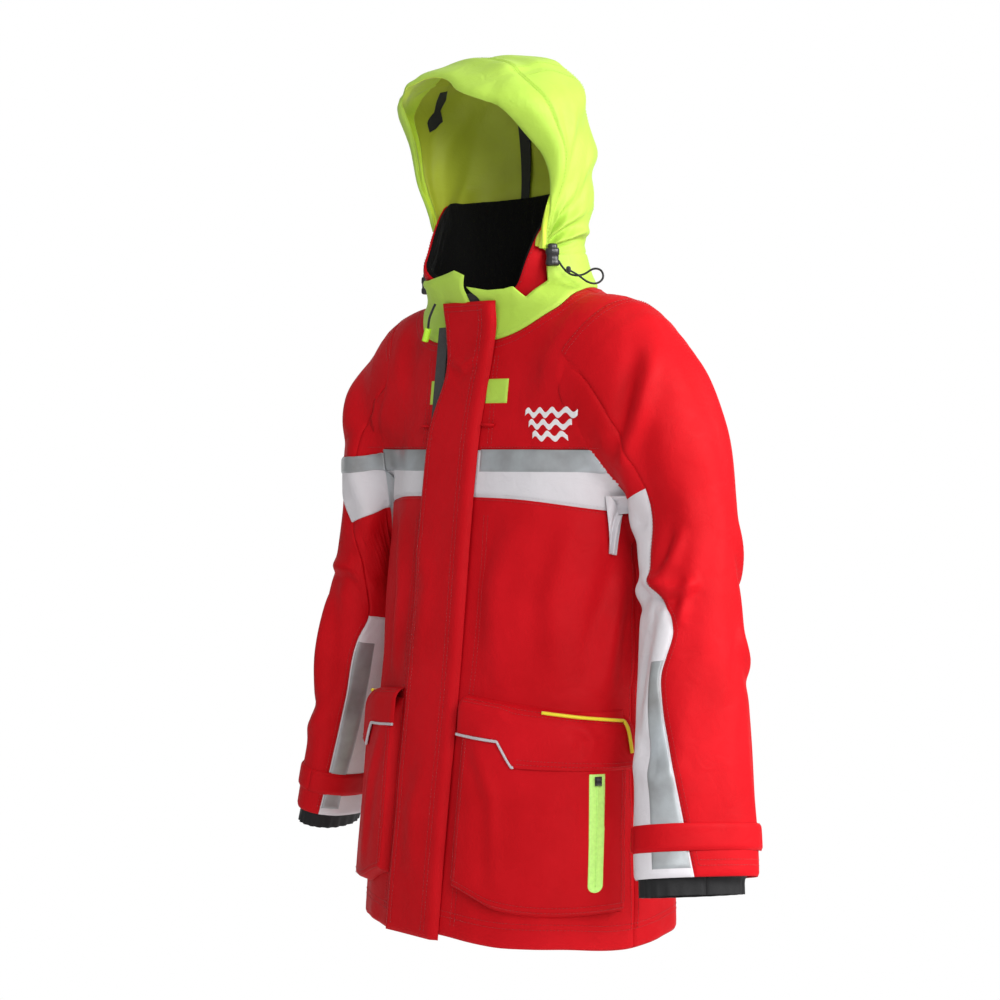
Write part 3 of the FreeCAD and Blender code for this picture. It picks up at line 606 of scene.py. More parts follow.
def sheet_piece(name, cloth, u, v, material, off=0.0, thick=0.0016, roll=0.0022, lift=None, hole=None, soft=True):
    """A cloth panel with real thickness and rounded, turned-under edges."""
    u, v = np.broadcast_arrays(u, v)
    points, normals = cloth.shape(u, v)
    distance = np.minimum(edge_run(points, 0), edge_run(points, 1)) if soft else 1.0
    puff = thick * (1 - np.exp(-(distance / roll) ** 2)) if soft else thick
    rise = cloth.wrinkle(u, v) + off
    if lift is not None:
        rise = rise + lift
    outer = points + normals * (rise + puff)[..., None]
    inner = points + normals * (rise - 0.0006)[..., None]
    return two_sided(name, outer, inner, material, hole)


def two_sided(name, outer, inner, material, hole=None):
    """A solid sheet between two grids of points, without the cells that are in a hole."""
    rows, columns = outer.shape[:2]
    count = rows * columns
    index = np.arange(count).reshape(rows, columns)
    keep = np.ones((rows - 1, columns - 1), bool) if hole is None else ~hole
    faces = []
    for i in range(rows - 1):
        for j in range(columns - 1):
            if not keep[i, j]:
                continue
            a, b, c, d = index[i, j], index[i + 1, j], index[i + 1, j + 1], index[i, j + 1]
            faces.append((a, b, c, d))
            faces.append((d + count, c + count, b + count, a + count))
            if i == 0 or not keep[i - 1, j]:
                faces.append((a, d, d + count, a + count))
            if i == rows - 2 or not keep[i + 1, j]:
                faces.append((c, b, b + count, c + count))
            if j == 0 or not keep[i, j - 1]:
                faces.append((b, a, a + count, b + count))
            if j == columns - 2 or not keep[i, j + 1]:
                faces.append((d, c, c + count, d + count))
    used = np.zeros(2 * count, bool)
    for face in faces:
        used[list(face)] = True
    renumber = np.cumsum(used) - 1
    vertices = np.concatenate([outer.reshape(-1, 3), inner.reshape(-1, 3)])[used]
    return new_object(name, vertices, [tuple(int(renumber[k]) for k in face) for face in faces], material)


def ring(middle, side, other, radius, sides, flat=1.0):
    """Points of a circle; flat squashes it in the direction of other."""
    angles = [2 * math.pi * k / sides for k in range(sides)]
    return [middle + radius * (side * math.cos(angle) + other * math.sin(angle) * flat) for angle in angles]


def ring_faces(rings, sides, first=0):
    """Faces between rings of points that follow one another, and a face over each end."""
    faces = []
    for i in range(rings - 1):
        for k in range(sides):
            a, b = first + i * sides + k, first + i * sides + (k + 1) % sides
            faces.append((a, b, b + sides, a + sides))
    faces.append(tuple(first + k for k in range(sides))[::-1])
    faces.append(tuple(first + (rings - 1) * sides + k for k in range(sides)))
    return faces


def tube(name, path, radius, material, sides=10, flat=1.0):
    """A tube along points, closed at its ends."""
    path = np.asarray(path, float)
    tangents = np.gradient(path, axis=0)
    tangents /= np.maximum(np.linalg.norm(tangents, axis=1, keepdims=True), 1e-12)
    side = np.cross(tangents[0], [0.3, 0.2, 0.9])
    vertices = []
    for point, tangent in zip(path, tangents):
        side = side - tangent * side.dot(tangent)
        side /= max(np.linalg.norm(side), 1e-12)
        vertices += ring(point, side, np.cross(tangent, side), radius, sides, flat)
    return new_object(name, vertices, ring_faces(len(path), sides), material)


def finely(points, count):
    """Points set evenly along the straight runs between (u, v) points, as a list of u and a list of v."""
    share = np.linspace(0, len(points) - 1, count)
    return [np.interp(share, range(len(points)), [float(p[k]) for p in points]) for k in (0, 1)]


def stitches(name, cloth, runs, material, off=0.0018, length=0.0026, pitch=0.0040, radius=0.00032):
    """Rows of thread, each stitch thicker in its middle: a run is a list of (u, v) points on a cloth."""
    vertices, faces = [], []
    for run in runs:
        points = cloth.at(*finely(run, 60 * (len(run) - 1) + 1), off)
        reach = np.concatenate([[0], np.cumsum(np.linalg.norm(np.diff(points, axis=0), axis=1))])
        starts = np.arange(0.002, reach[-1] - length, pitch)
        for start in starts:
            ends = [np.array([np.interp(place, reach, points[:, k]) for k in range(3)])
                    for place in (start, start + length)]
            tangent = ends[1] - ends[0]
            tangent /= max(np.linalg.norm(tangent), 1e-9)
            side = np.cross(tangent, [0.31, 0.52, 0.79])
            side /= np.linalg.norm(side)
            other = np.cross(tangent, side)
            faces += ring_faces(3, 5, first=len(vertices))
            for place, size in ((ends[0], 0.4), ((ends[0] + ends[1]) / 2, 1.0), (ends[1], 0.4)):
                vertices += ring(place, side, other, radius * size, 5)
    return new_object(name, vertices, faces, material)


def lathe(name, profile, place, material, sides=36, ribs=0, rib_depth=0.0):
    """A turned piece about the vertical: profile as (radius, height)."""
    vertices = []
    for radius, height in profile:
        for k in range(sides):
            angle = 2 * math.pi * k / sides
            r = radius - (rib_depth if ribs and k % (sides // ribs) == 0 else 0)
            vertices.append((place[0] + r * math.cos(angle), place[1] + r * math.sin(angle), place[2] + height))
    return new_object(name, vertices, ring_faces(len(profile), sides), material)


# ---------------------------------------------------------------- materials
class Look:
    """A material under way: its shader, and short ways to add the nodes that feed it."""

    def __init__(self, name):
        self.material = bpy.data.materials.new(name)
        self.material.use_nodes = True
        self.tree = self.material.node_tree
        self.shader = self.tree.nodes["Principled BSDF"]
        self.place = self.add("TexCoord").outputs["Object"]

    def add(self, kind, values=None, fed_by=None, **properties):
        """A node with its properties, the values of its sockets, and the outputs that feed it."""
        node = self.tree.nodes.new("ShaderNode" + kind)
        for key, value in properties.items():
            setattr(node, key, value)
        for socket, value in (values or {}).items():
            node.inputs[socket].default_value = value
        for socket, output in (fed_by or {}).items():
            self.tree.links.new(output, node.inputs[socket])
        return node

    def noise(self, scale, detail, distortion=0.0):
        values = {"Scale": scale, "Detail": detail, "Distortion": distortion}
        return self.add("TexNoise", values, {"Vector": self.place}).outputs["Fac"]

    def tones(self, field, shade, colour, low=0.0, high=1.0):
        """A field's values as a colour between two tones."""
        node = self.add("ValToRGB", fed_by={"Fac": field})
        for element, position, tone in zip(node.color_ramp.elements, (low, high), (shade, colour)):
            element.position = position
            element.color = (*tone, 1)
        return node.outputs["Color"]

    def bump(self, height, strength, distance, under=None):
        fed_by = {"Height": height} if under is None else {"Height": height, "Normal": under}
        return self.add("Bump", {"Strength": strength, "Distance": distance}, fed_by).outputs["Normal"]

    def finish(self, fed_by, **values):
        """Feed the shader and set its own sockets; words of a socket's name are joined by underscores."""
        for socket, output in fed_by.items():
            self.tree.links.new(output, self.shader.inputs[socket])
        for socket, value in values.items():
            self.shader.inputs[socket.replace("_", " ")].default_value = value
        return self.material


def fabric(name, colour, shade, roughness=0.6, sheen=0.25, weave=900.0, weave_depth=0.15, crumple=0.25,
           crumple_scale=45.0, specular=0.35):
    """Woven cloth: fine weave, small crumples, and a soft drift between two tones."""
    look = Look(name)
    tones = look.tones(look.noise(9.0, 4), shade, colour, 0.32, 0.70)
    warp, weft = [look.add("TexWave", {"Scale": weave, "Distortion": 0.4, "Detail Scale": 2.0},
                           {"Vector": look.place}, bands_direction=direction).outputs["Fac"]
                  for direction in ("Z", "DIAGONAL")]
    cross = look.add("Math", fed_by={0: warp, 1: weft}, operation="MULTIPLY").outputs[0]
    tint = look.add("Mix", {0: 0.12}, {6: tones, 7: cross}, data_type="RGBA", blend_type="MULTIPLY")
    creases = look.noise(crumple_scale, 5, 0.8)
    normal = look.bump(creases, crumple, 0.004, under=look.bump(cross, weave_depth, 0.0003))
    gloss = look.add("MapRange", {"To Min": roughness - 0.08, "To Max": roughness + 0.10}, {"Value": creases})
    return look.finish({"Base Color": tint.outputs[2], "Normal": normal, "Roughness": gloss.outputs["Result"]},
                       Sheen_Weight=sheen, Sheen_Roughness=0.45, Specular_IOR_Level=specular, Coat_Weight=0.0)


def reflective_tape():
    """Grey glass-bead tape: a fine net of cells over a soft metallic grey."""
    look = Look("reflective_tape")
    cells = look.add("TexVoronoi", {"Scale": 420}, {"Vector": look.place}, feature="DISTANCE_TO_EDGE")
    tones = look.tones(look.noise(14, 5), (0.22, 0.22, 0.22), (0.46, 0.50, 0.53), 0.35, 0.72)
    return look.finish({"Base Color": tones, "Normal": look.bump(cells.outputs["Distance"], 0.3, 0.0004)},
                       Metallic=0.35, Roughness=0.42, Coat_Weight=0.15)


def plastic(name, colour, roughness=0.4, grain=600.0, metallic=0.0):
    """Moulded plastic or metal with a fine grain."""
    look = Look(name)
    field = look.noise(grain, 3)
    tones = look.tones(field, [c * 0.8 for c in colour], [min(1, c * 1.15) for c in colour])
    return look.finish({"Base Color": tones, "Normal": look.bump(field, 0.2, 0.0003)},
                       Roughness=roughness, Metallic=metallic)


RED = fabric("red_shell", (0.58, 0.004, 0.010), (0.48, 0.002, 0.006), sheen=0.0, specular=0.10)
NEON = fabric("neon_shell", (0.47, 0.70, 0.085), (0.40, 0.61, 0.06), crumple=0.35, sheen=0.03)
# painted light: the brim's facing is the same neon cloth as the shell, painted much brighter than it to stand in for
# light on the inside of the brim
NEON_FACING_PAINTED_BRIGHT = fabric("neon_facing_painted_bright", (0.74, 0.98, 0.08), (0.60, 0.86, 0.05), crumple=0.9, crumple_scale=28)
OLIVE = fabric("hood_lining", (0.50, 0.58, 0.05), (0.36, 0.41, 0.02), roughness=0.40, specular=0.25,
               crumple=0.8, crumple_scale=18)
WHITE = fabric("white_panel", (0.70, 0.68, 0.71), (0.60, 0.57, 0.60), crumple=0.4)
FLEECE = fabric("black_fleece", (0.006, 0.006, 0.006), (0.004, 0.004, 0.004), roughness=0.85, sheen=0.04,
                weave=240, weave_depth=0.5, crumple=0.45, crumple_scale=300, specular=0.1)
BLACK = fabric("black_tape", (0.022, 0.022, 0.024), (0.012, 0.012, 0.013), roughness=0.7, weave=500,
               weave_depth=0.6)
INNER = fabric("inner_cuff_cloth", (0.014, 0.014, 0.015), (0.009, 0.009, 0.010), weave=500, sheen=0.05,
               specular=0.2)
TAPE = reflective_tape()
PIPE_YELLOW = fabric("yellow_piping", (0.90, 0.78, 0.03), (0.80, 0.66, 0.02), roughness=0.45, crumple=0.1)
PIPE_GREY = fabric("grey_piping", (0.55, 0.52, 0.55), (0.42, 0.40, 0.42), roughness=0.4, crumple=0.1)
NEON_ZIP = plastic("neon_zip", (0.52, 0.92, 0.20), 0.45, 300)
LOCK = plastic("lock_plastic", (0.018, 0.018, 0.019), 0.35)
ZIP = plastic("zip_plastic", (0.03, 0.03, 0.032), 0.4)
STEEL = plastic("spring_steel", (0.55, 0.55, 0.56), 0.3, 900, metallic=1.0)
RUBBER = plastic("neon_rubber", (0.45, 0.80, 0.03), 0.55)
CORD = fabric("cord_braid", (0.020, 0.020, 0.022), (0.008, 0.008, 0.009), roughness=0.7, weave=700,
              weave_depth=1.0, crumple=0.1)
PRINT = fabric("white_print", (0.85, 0.83, 0.84), (0.76, 0.74, 0.75), roughness=0.5, crumple=0.1)
RED_THREAD = fabric("red_thread", (0.42, 0.006, 0.010), (0.30, 0.004, 0.008), crumple=0.0)
NEON_THREAD = fabric("neon_thread", (0.48, 0.70, 0.05), (0.38, 0.58, 0.04), crumple=0.0)
WHITE_THREAD = fabric("white_thread", (0.60, 0.58, 0.60), (0.50, 0.48, 0.50), crumple=0.0)


# ---------------------------------------------------------------- panels of the body
def neck_seam(h):
    """The height of the seam between the red panels and the bright neck band."""
    return smooth(np.abs(wrap_share(h)), [0.0, 0.14, 0.30, 0.42, 0.5, 0.75, 1.0],
                  [-0.074, -0.070, -0.040, -0.020, -0.013, -0.009, -0.008])


# share of the girth, height
NECK_TOP = [(0.045, -0.011), (0.126, -0.0165), (0.188, -0.017), (0.226, -0.015), (0.246, -0.025), (0.374, -0.003),
            (0.392, 0.030), (0.46, 0.033), (1.54, 0.033), (1.62, 0.028), (1.70, 0.010), (1.78, 0.0), (1.844, -0.001),
            (1.91, 0.0035), (1.985, 0.0085), (2.010, 0.006), (2.045, 0.002)]


def neck_top(h):
    """The height of the neck band's upper edge, from its left end in front round the back to its right end."""
    return np.interp(h, *zip(*NECK_TOP))


# how far the neck and the collar stand open on the wearer's right, by height
NECK_OPEN = ([-0.05, -0.035, -0.012, 0, 0.04, 0.07, 0.11], [0, 0.1, 0.75, 1, 0.6, 0.45, 0.4])


def neck_base(h, z):
    """The neck band leans away from the chin in front, further on the wearer's right."""
    p, n = body_cloth.shape(h, z)
    share = wrap_share(h)
    lean = 0.020 * step(z, -0.040, 0.002) * (1 - step(np.abs(share), 0.16, 0.36))
    far = step(-share, 0.04, 0.22) * (1 - step(-share, 0.50, 0.68)) * smooth(z, *NECK_OPEN)
    return p + n * lean[..., None] + far[..., None] * np.array([-0.011, -0.007, 0])


neck_cloth = Cloth(neck_base, body_wrinkle, 0.003, 0.003, 1)


def band_bottom(h):
    """The height of the seam between the white band and the front and back panels."""
    return smooth(np.abs(wrap_share(h)), [0.0, 0.2, 0.5, 1.0], [-0.254, -0.256, -0.272, -0.262])


def hem_line(h):
    """The height of the lower edge, which waves a little."""
    return HEM + 0.004 + 0.003 * np.sin(np.asarray(h, float) * 9.0 + 0.6) + 0.002 * np.sin(np.asarray(h) * 23.0)


def past_seam(h, z):
    """How far a point of the body lies past the armhole seam, towards the sleeve."""
    p = body_cloth.shape(h, z)[0]
    distance = np.where(p[..., 0] > 0, sleeve_distance(p, LEFT), sleeve_distance(p, RIGHT))
    return body_distance(p) - distance


PANEL_MIDDLE = -0.4     # height at which a panel's width is first taken


def body_grid(h_left, h_right, z_low, z_high, columns, rows, width, height):
    """A panel's grid: side edges are functions of height, upper and lower edges functions of girth."""
    a = stations(columns, width)[:, None]
    b = stations(rows, height)[None, :]
    h_guess = h_left(PANEL_MIDDLE) + (h_right(PANEL_MIDDLE) - h_left(PANEL_MIDDLE)) * a
    z = z_low(h_guess) + (z_high(h_guess) - z_low(h_guess)) * b
    h = h_left(z) + (h_right(z) - h_left(z)) * a
    return h, z


def at_x(x):
    """The share of the girth at a distance from the front centre."""
    return lambda z: x / half_girth(z)


def constant(value):
    """An edge that stays at one value."""
    return lambda _: value + 0 * np.asarray(_, float)


ARMHOLE_SINK = 0.0024


def body_panel(name, left, right, low, high, columns, rows, material, sink=ARMHOLE_SINK, armhole=False,
               **options):
    """A panel between four edges; past the armhole seam it sinks under the sleeve or is left open."""
    width = abs(float(right(PANEL_MIDDLE)) - float(left(PANEL_MIDDLE))) * 0.6
    h, z = body_grid(left, right, low, high, columns, rows, max(width, 0.02), 0.2)
    past = past_seam(h, z)
    hole = (past[:-1, :-1] > 0.014) & (past[1:, 1:] > 0.014) if armhole else None
    lift = -sink * step(past, 0.001, 0.006)
    return sheet_piece(name, body_cloth, h, z, material, hole=hole, lift=lift, **options)


def stands_for_both(piece, side, node):
    """One solid holds both sides: the left piece replaces it, and both pieces hang on the jacket."""
    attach(piece, "jacket")
    if side == LEFT:
        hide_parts(node)


def mirror_edges(side, left, right):
    """Edges for the wearer's left as given, or swapped and mirrored for the right."""
    if side == LEFT:
        return left, right
    return (lambda z: -right(z)), (lambda z: -left(z))


BODY_TIERS = (
    # names in front and at the back, lower and upper edge, rows, material, opened at the armhole
    ("front_panel", "back_panel", hem_line, band_bottom, 130, RED, False),
    ("chest_band", "back_band", band_bottom, constant(TAPE_TOP), 18, WHITE, True),
    ("chest_panel", "back_yoke", constant(TAPE_TOP), neck_seam, 44, RED, True))


def build_body_tiers(at_back, ending, edges, columns, sinks):
    """Panels one above the other, from the hem to the neck."""
    for tier, sink in zip(BODY_TIERS, sinks):
        part = tier[1] if at_back else tier[0]
        low, high, rows, material, armhole = tier[2:]
        piece = body_panel(part + "_cloth" + ending, *edges, low, high, columns, rows, material, sink=sink,
                           armhole=armhole)
        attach(piece, "jacket")
        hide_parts(part + ending)


def build_body():
    """Front and back panels, yoke, chest band, tape, neck band and the end of the zip's guard."""
    for side_name, side in SIDES:
        edges = mirror_edges(side, at_x(SLOT), constant(0.5))
        build_body_tiers(False, "_" + side_name, edges, 90, (0.008, 0.006, ARMHOLE_SINK))
    build_body_tiers(True, "", (constant(0.5), constant(1.5)), 160, (0.006, 0.006, ARMHOLE_SINK))
    # grey tape lies on the upper part of the white band
    for name, left, right, node in (("left", at_x(0.048), constant(0.5), "reflective_tape_front"),
                                    ("right", constant(-0.5), at_x(-0.048), None),
                                    ("back", constant(0.5), constant(1.5), "reflective_tape_back")):
        piece = body_panel("reflective_tape_cloth_" + name, left, right, constant(TAPE_BOTTOM),
                           constant(TAPE_TOP + 0.0005), 90, 8, TAPE, off=0.0016, thick=0.0009, roll=0.0012,
                           armhole=True, sink=0.0075)
        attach(piece, "jacket")
        if node:
            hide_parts(node)
    h, z = body_grid(constant(0.045), constant(2.045), neck_seam, neck_top, 420, 24, 0.9, 0.05)
    h = h + 0.028 * (1 - step(z, -0.0245, -0.011)) * np.clip(1 - (h - 0.045) / 0.06, 0, 1)
    h = h - 0.018 * (1 - step(z, -0.015, 0.002)) * np.clip(1 - (2.045 - h) / 0.06, 0, 1)
    piece = sheet_piece("neck_band_cloth", neck_cloth, h, z, NEON, thick=0.0022, off=0.0004)
    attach(piece, "jacket")
    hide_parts("neck_band")
    # black end of the zip's guard, between the two ends of the band
    h, z = body_grid(at_x(-0.004), at_x(0.034), constant(-0.060), constant(-0.0195), 10, 14, 0.04, 0.04)
    piece = sheet_piece("zip_guard_end", neck_cloth, h, z, BLACK, off=-0.0024, thick=0.0012)
    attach(piece, "jacket")


def build_body_stitching():
    """Rows of stitches along the hem, the seams, the chest band, the tape and the neck."""
    line = np.linspace
    red_runs, white_runs = [], []
    for side in (LEFT, RIGHT):
        for inset in (0.010, 0.016):
            red_runs.append([(side * h, hem_line(side * h) + inset + 0.012) for h in line(0.05, 1.0, 40)])
            red_runs.append([(side * h, neck_seam(h) - inset + 0.006) for h in line(0.10, 1.0, 30)])
        red_runs.append([(side * h, band_bottom(h) - 0.003) for h in line(0.09, 1.0, 30)])
        red_runs.append([(side * h, TAPE_TOP + 0.003) for h in line(0.09, 1.0, 30)])
        white_runs.append([(side * h, band_bottom(h) + 0.0035) for h in line(0.09, 1.0, 30)])
        for inset in (0.006, 0.012):
            for x, low, high, count in ((0.055, HEM + 0.02, -0.275, 20), (0.052, -0.195, -0.09, 8)):
                red_runs.append([(side * (x + inset) / half_girth(z), z) for z in line(low, high, count)])
        for share in (0.492, 0.508):
            red_runs.append([(side * share, z) for z in line(HEM + 0.02, -0.29, 12)])
    piece = stitches("body_stitching", body_cloth, red_runs, RED_THREAD)
    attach(piece, "jacket")
    piece = stitches("band_stitching", body_cloth, white_runs, WHITE_THREAD)
    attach(piece, "jacket")
    neon_runs = []
    for inset in (0.004, 0.010):
        neon_runs.append([(h, neck_seam(h) + inset) for h in line(0.10, 1.90, 60)])
    piece = stitches("neck_stitching", neck_cloth, neon_runs, NEON_THREAD, off=0.0026)
    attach(piece, "jacket")


# ---------------------------------------------------------------- sleeves
def sleeve_start(side):
    """Where each line of the sleeve meets the body's seam: distance down the arm by phi."""
    phis = np.linspace(-math.pi, math.pi, 145)
    runs = np.linspace(0, ARM_RUN[4], 260)
    p = SLEEVE[side].shape(phis[:, None] + 0 * runs, runs[None, :] + 0 * phis[:, None])[0]
    before = sleeve_distance(p, side) - body_distance(p) > 0.0
    last = np.array([np.max(np.nonzero(row)[0]) if row.any() else 0 for row in before])
    start = runs[last]
    window = np.array([1, 2, 3, 2, 1]) / 9
    padded = np.concatenate([start[-3:-1], start, start[1:3]])
    return phis, np.convolve(padded, window, mode="valid")


START = {side: sleeve_start(side) for side in (LEFT, RIGHT)}


def start_at(side, phi):
    """How far down the arm the sleeve starts, by the way round it."""
    return np.interp(wrap(phi), *START[side])


# edges of the white inner panel: how far round the sleeve it reaches, by height
GUSSET_EDGE = {
    LEFT: ([-0.664, -0.614, -0.521, -0.486, -0.449, -0.432, -0.406, -0.390, -0.361, -0.343, -0.322, -0.278,
            -0.245], [12, 20, 38, 45, 47, 42, 36, 40, 64, 77, 79, 76, 72]),
    RIGHT: ([-0.664, -0.605, -0.513, -0.430, -0.408, -0.360, -0.333, -0.296],
            [112, 116, 117, 116, 122, 110, 102, 86]),
}
GUSSET_WIDTH = {LEFT: 165, RIGHT: 245}
GUSSET_TOP = {LEFT: -0.245, RIGHT: -0.402}
STRIP_TOP, STRIP_BOTTOM = -0.437, -0.655         # grey strip beside the white panel
CUFF_TAB_TOP, CUFF_TAB_BOTTOM = -0.608, -0.637
INNER_CUFF_UP, INNER_CUFF_LENGTH = 0.035, 0.054  # how far it starts inside the hem, and its length
# end of the grey strip, as how far round the sleeve, by height
STRIP_EDGE = {LEFT: ([-0.62, -0.55, -0.48, -0.44], [56, 62, 64, 62]),
              RIGHT: ([-0.62, -0.55, -0.48, -0.44], [141, 142, 141, 138])}


def gusset_edge(side, s):
    """The way round the sleeve at which the white panel starts."""
    keys, degrees = GUSSET_EDGE[side]
    return np.radians(smooth(level_of(s), keys, degrees))


def sleeve_grid(phi_low, phi_high, s_low, s_high, columns, rows, width=0.3, height=0.4):
    """A panel of the sleeve: its side edges follow the arm, its ends follow the way round."""
    a = stations(columns, width)[:, None]
    b = stations(rows, height)[None, :]
    s = s_high(0 * a) * b + s_low(0 * a) * (1 - b)
    for _ in range(5):
        phi = phi_low(s) + (phi_high(s) - phi_low(s)) * a
        s = s_low(phi) + (s_high(phi) - s_low(phi)) * b
    return phi_low(s) + (phi_high(s) - phi_low(s)) * a, s


def sleeve_fabric(piece):
    """Cloth that crosses the shoulder: its place is baked into its mesh."""
    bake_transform(piece)


def build_sleeve(side_name, side):
    """Outer cloth, underarm, white panel, grey strip and seams."""
    cloth = SLEEVE[side]
    edge = lambda s: gusset_edge(side, s)
    far_edge = constant(math.radians(GUSSET_WIDTH[side]))
    back_edge = constant(math.radians(GUSSET_WIDTH[side] - 360))
    begin = lambda p: start_at(side, p)
    hem = constant(SLEEVE_HEM)
    phi, s = sleeve_grid(back_edge, edge, begin, hem, 96, 150)
    piece = sheet_piece("sleeve_cloth_" + side_name, cloth, phi, s, RED)
    sleeve_fabric(piece)
    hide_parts("sleeve_" + side_name, "shoulder_cap_" + side_name)
    top = float(arm_at(GUSSET_TOP[side]))
    gusset_start = lambda p: np.maximum(top, start_at(side, p))
    phi, s = sleeve_grid(edge, far_edge, begin, lambda p: gusset_start(p) + 0.002, 40, 40)
    piece = sheet_piece("sleeve_underarm_" + side_name, cloth, phi, s, RED)
    sleeve_fabric(piece)
    phi, s = sleeve_grid(edge, far_edge, gusset_start, hem, 50, 150)
    piece = sheet_piece("sleeve_gusset_cloth_" + side_name, cloth, phi, s, WHITE)
    sleeve_fabric(piece)
    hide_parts("sleeve_gusset_" + side_name)
    # reflective strip along the edge of the white panel
    strip_low = lambda v: gusset_edge(side, v) + 0.03
    strip_high = lambda v: np.radians(smooth(level_of(v), *STRIP_EDGE[side]))
    phi, s = sleeve_grid(strip_low, strip_high, constant(arm_at(STRIP_TOP)), constant(arm_at(STRIP_BOTTOM)),
                         10, 60, width=0.03, height=0.23)
    piece = sheet_piece("sleeve_strip_cloth_" + side_name, cloth, phi, s, TAPE, off=0.0014, thick=0.0009,
                        roll=0.0012)
    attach(piece, "sleeve_" + side_name)
    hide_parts("sleeve_reflective_strip_" + side_name)
    # seams
    runs = []
    for inset in (0.030, 0.10):
        runs.append([(gusset_edge(side, v) - inset, v) for v in np.linspace(top + 0.01, SLEEVE_HEM - 0.01, 30)])
    for inset in (0.012, 0.018):
        runs.append([(p, SLEEVE_HEM - inset) for p in np.radians(np.linspace(GUSSET_WIDTH[side] - 355, 10, 24))])
        runs.append([(p, start_at(side, p) + inset - 0.008) for p in np.radians(np.linspace(-150, 70, 40))])
    piece = stitches("sleeve_stitching_" + side_name, cloth, runs, RED_THREAD)
    sleeve_fabric(piece)


def build_inner_cuff(side_name, side):
    """A black ribbed cuff inside the hem, drawn in behind."""
    run = stations(10, 0.06)
    phi = np.linspace(0, 2 * math.pi, 73)[:, None] + 0 * run[None, :]
    s = SLEEVE_HEM - INNER_CUFF_UP + INNER_CUFF_LENGTH * run[None, :] + 0 * phi
    gather = 0.0012 * np.sin(phi * 22) * step(s, SLEEVE_HEM - 0.01, SLEEVE_HEM + 0.02)
    gather = gather - 0.006 * (1 - np.sin(phi)) * step(s, SLEEVE_HEM - 0.014, SLEEVE_HEM + 0.006)
    piece = sheet_piece("inner_cuff_cloth_" + side_name, SLEEVE[side], phi, s, INNER, off=-0.0045, lift=gather,
                        soft=False)
    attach(piece, "sleeve_" + side_name)
    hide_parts("inner_cuff_" + side_name)


def build_cuff_tab(side_name, side):
    """The cuff strap: its sewn part rides on the sleeve, its free part on its own body."""
    cloth = SLEEVE[side]
    tab_top, tab_bottom = arm_at(CUFF_TAB_TOP), arm_at(CUFF_TAB_BOTTOM)
    s = tab_top + (tab_bottom - tab_top) * stations(8, 0.03)[None, :]
    phi = np.radians(np.linspace(-84, 88, 70))[:, None]
    lift = 0.0010 + 0.0006 * np.sin(phi * 3) + 0.002 * step(-phi, 1.2, 1.47)
    piece = sheet_piece("cuff_tab_cloth_" + side_name, cloth, phi, s, RED, off=0.0012, thick=0.0022, lift=lift)
    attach(piece, "cuff_tab_" + side_name)
    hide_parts("cuff_tab_" + side_name)
    phi = np.radians(np.linspace(86, 205, 50))[:, None]
    piece = sheet_piece("cuff_strap_base_" + side_name, cloth, phi, s, RED, off=0.0020, thick=0.0022)
    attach(piece, "sleeve_" + side_name)


def build_sleeve_band(side_name, side):
    """The chest band carries on over the front of the far sleeve: white, grey tape on its upper part."""
    cloth = SLEEVE[side]
    start, end = constant(math.radians(20)), constant(math.radians(140))
    level = lambda values: lambda p: arm_at(np.interp(np.degrees(p), [20, 49, 70, 84, 105, 120, 140], values))
    top = level([-0.224, -0.220, -0.211, -0.203, -0.188, -0.172, -0.160])
    mid = level([-0.240, -0.238, -0.230, -0.224, -0.211, -0.202, -0.195])
    low = level([-0.247, -0.251, -0.272, -0.288, -0.271, -0.259, -0.250])
    for name, lower, material, off, slot in (("sleeve_band_", low, WHITE, 0.0025, "white_panel"),
                                             ("sleeve_band_tape_", mid, TAPE, 0.0038, "reflective")):
        phi, s = sleeve_grid(start, end, lambda p: np.maximum(top(p), start_at(side, p)), lower, 50, 16,
                             width=0.14, height=0.06)
        piece = sheet_piece(name + side_name, cloth, phi, s, material, off=off, thick=0.0010, roll=0.0014)
        sleeve_fabric(piece)


def build_fold_in():
    """The near end of the chest band, tucked into the crease between body and sleeve."""
    t = stations(24, 0.07)[None, :]
    a = stations(16, 0.06)[:, None]
    left_h = smooth(t, [0, 1], [0.412, 0.427])
    left_z = smooth(t, [0, 1], [-0.252, -0.317])
    right_h = smooth(t, [0, 0.25, 0.5, 0.75, 1], [0.530, 0.515, 0.481, 0.453, 0.443])
    right_z = smooth(t, [0, 0.25, 0.5, 0.75, 1], [-0.228, -0.243, -0.256, -0.275, -0.319])
    h = left_h + (right_h - left_h) * a
    z = left_z + (right_z - left_z) * a
    pleats = 0.0035 * np.sin(a * 11 + t * 2.5) + 0.0035
    piece = sheet_piece("chest_band_fold_in", body_cloth, h, z, WHITE, off=0.0016, thick=0.0012, lift=pleats)
    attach(piece, "jacket")


def hood_fabric(piece):
    """Cloth of the hood: its place is baked into its mesh."""
    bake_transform(piece)


def hood_grid(u0, u1, v0, v1, columns, rows):
    """A grid over a part of the hood."""
    u = u0 + (u1 - u0) * stations(columns, 0.35)[:, None]
    v = v0 + (v1 - v0) * stations(rows, 0.6)[None, :]
    return u + 0 * v, v + 0 * u


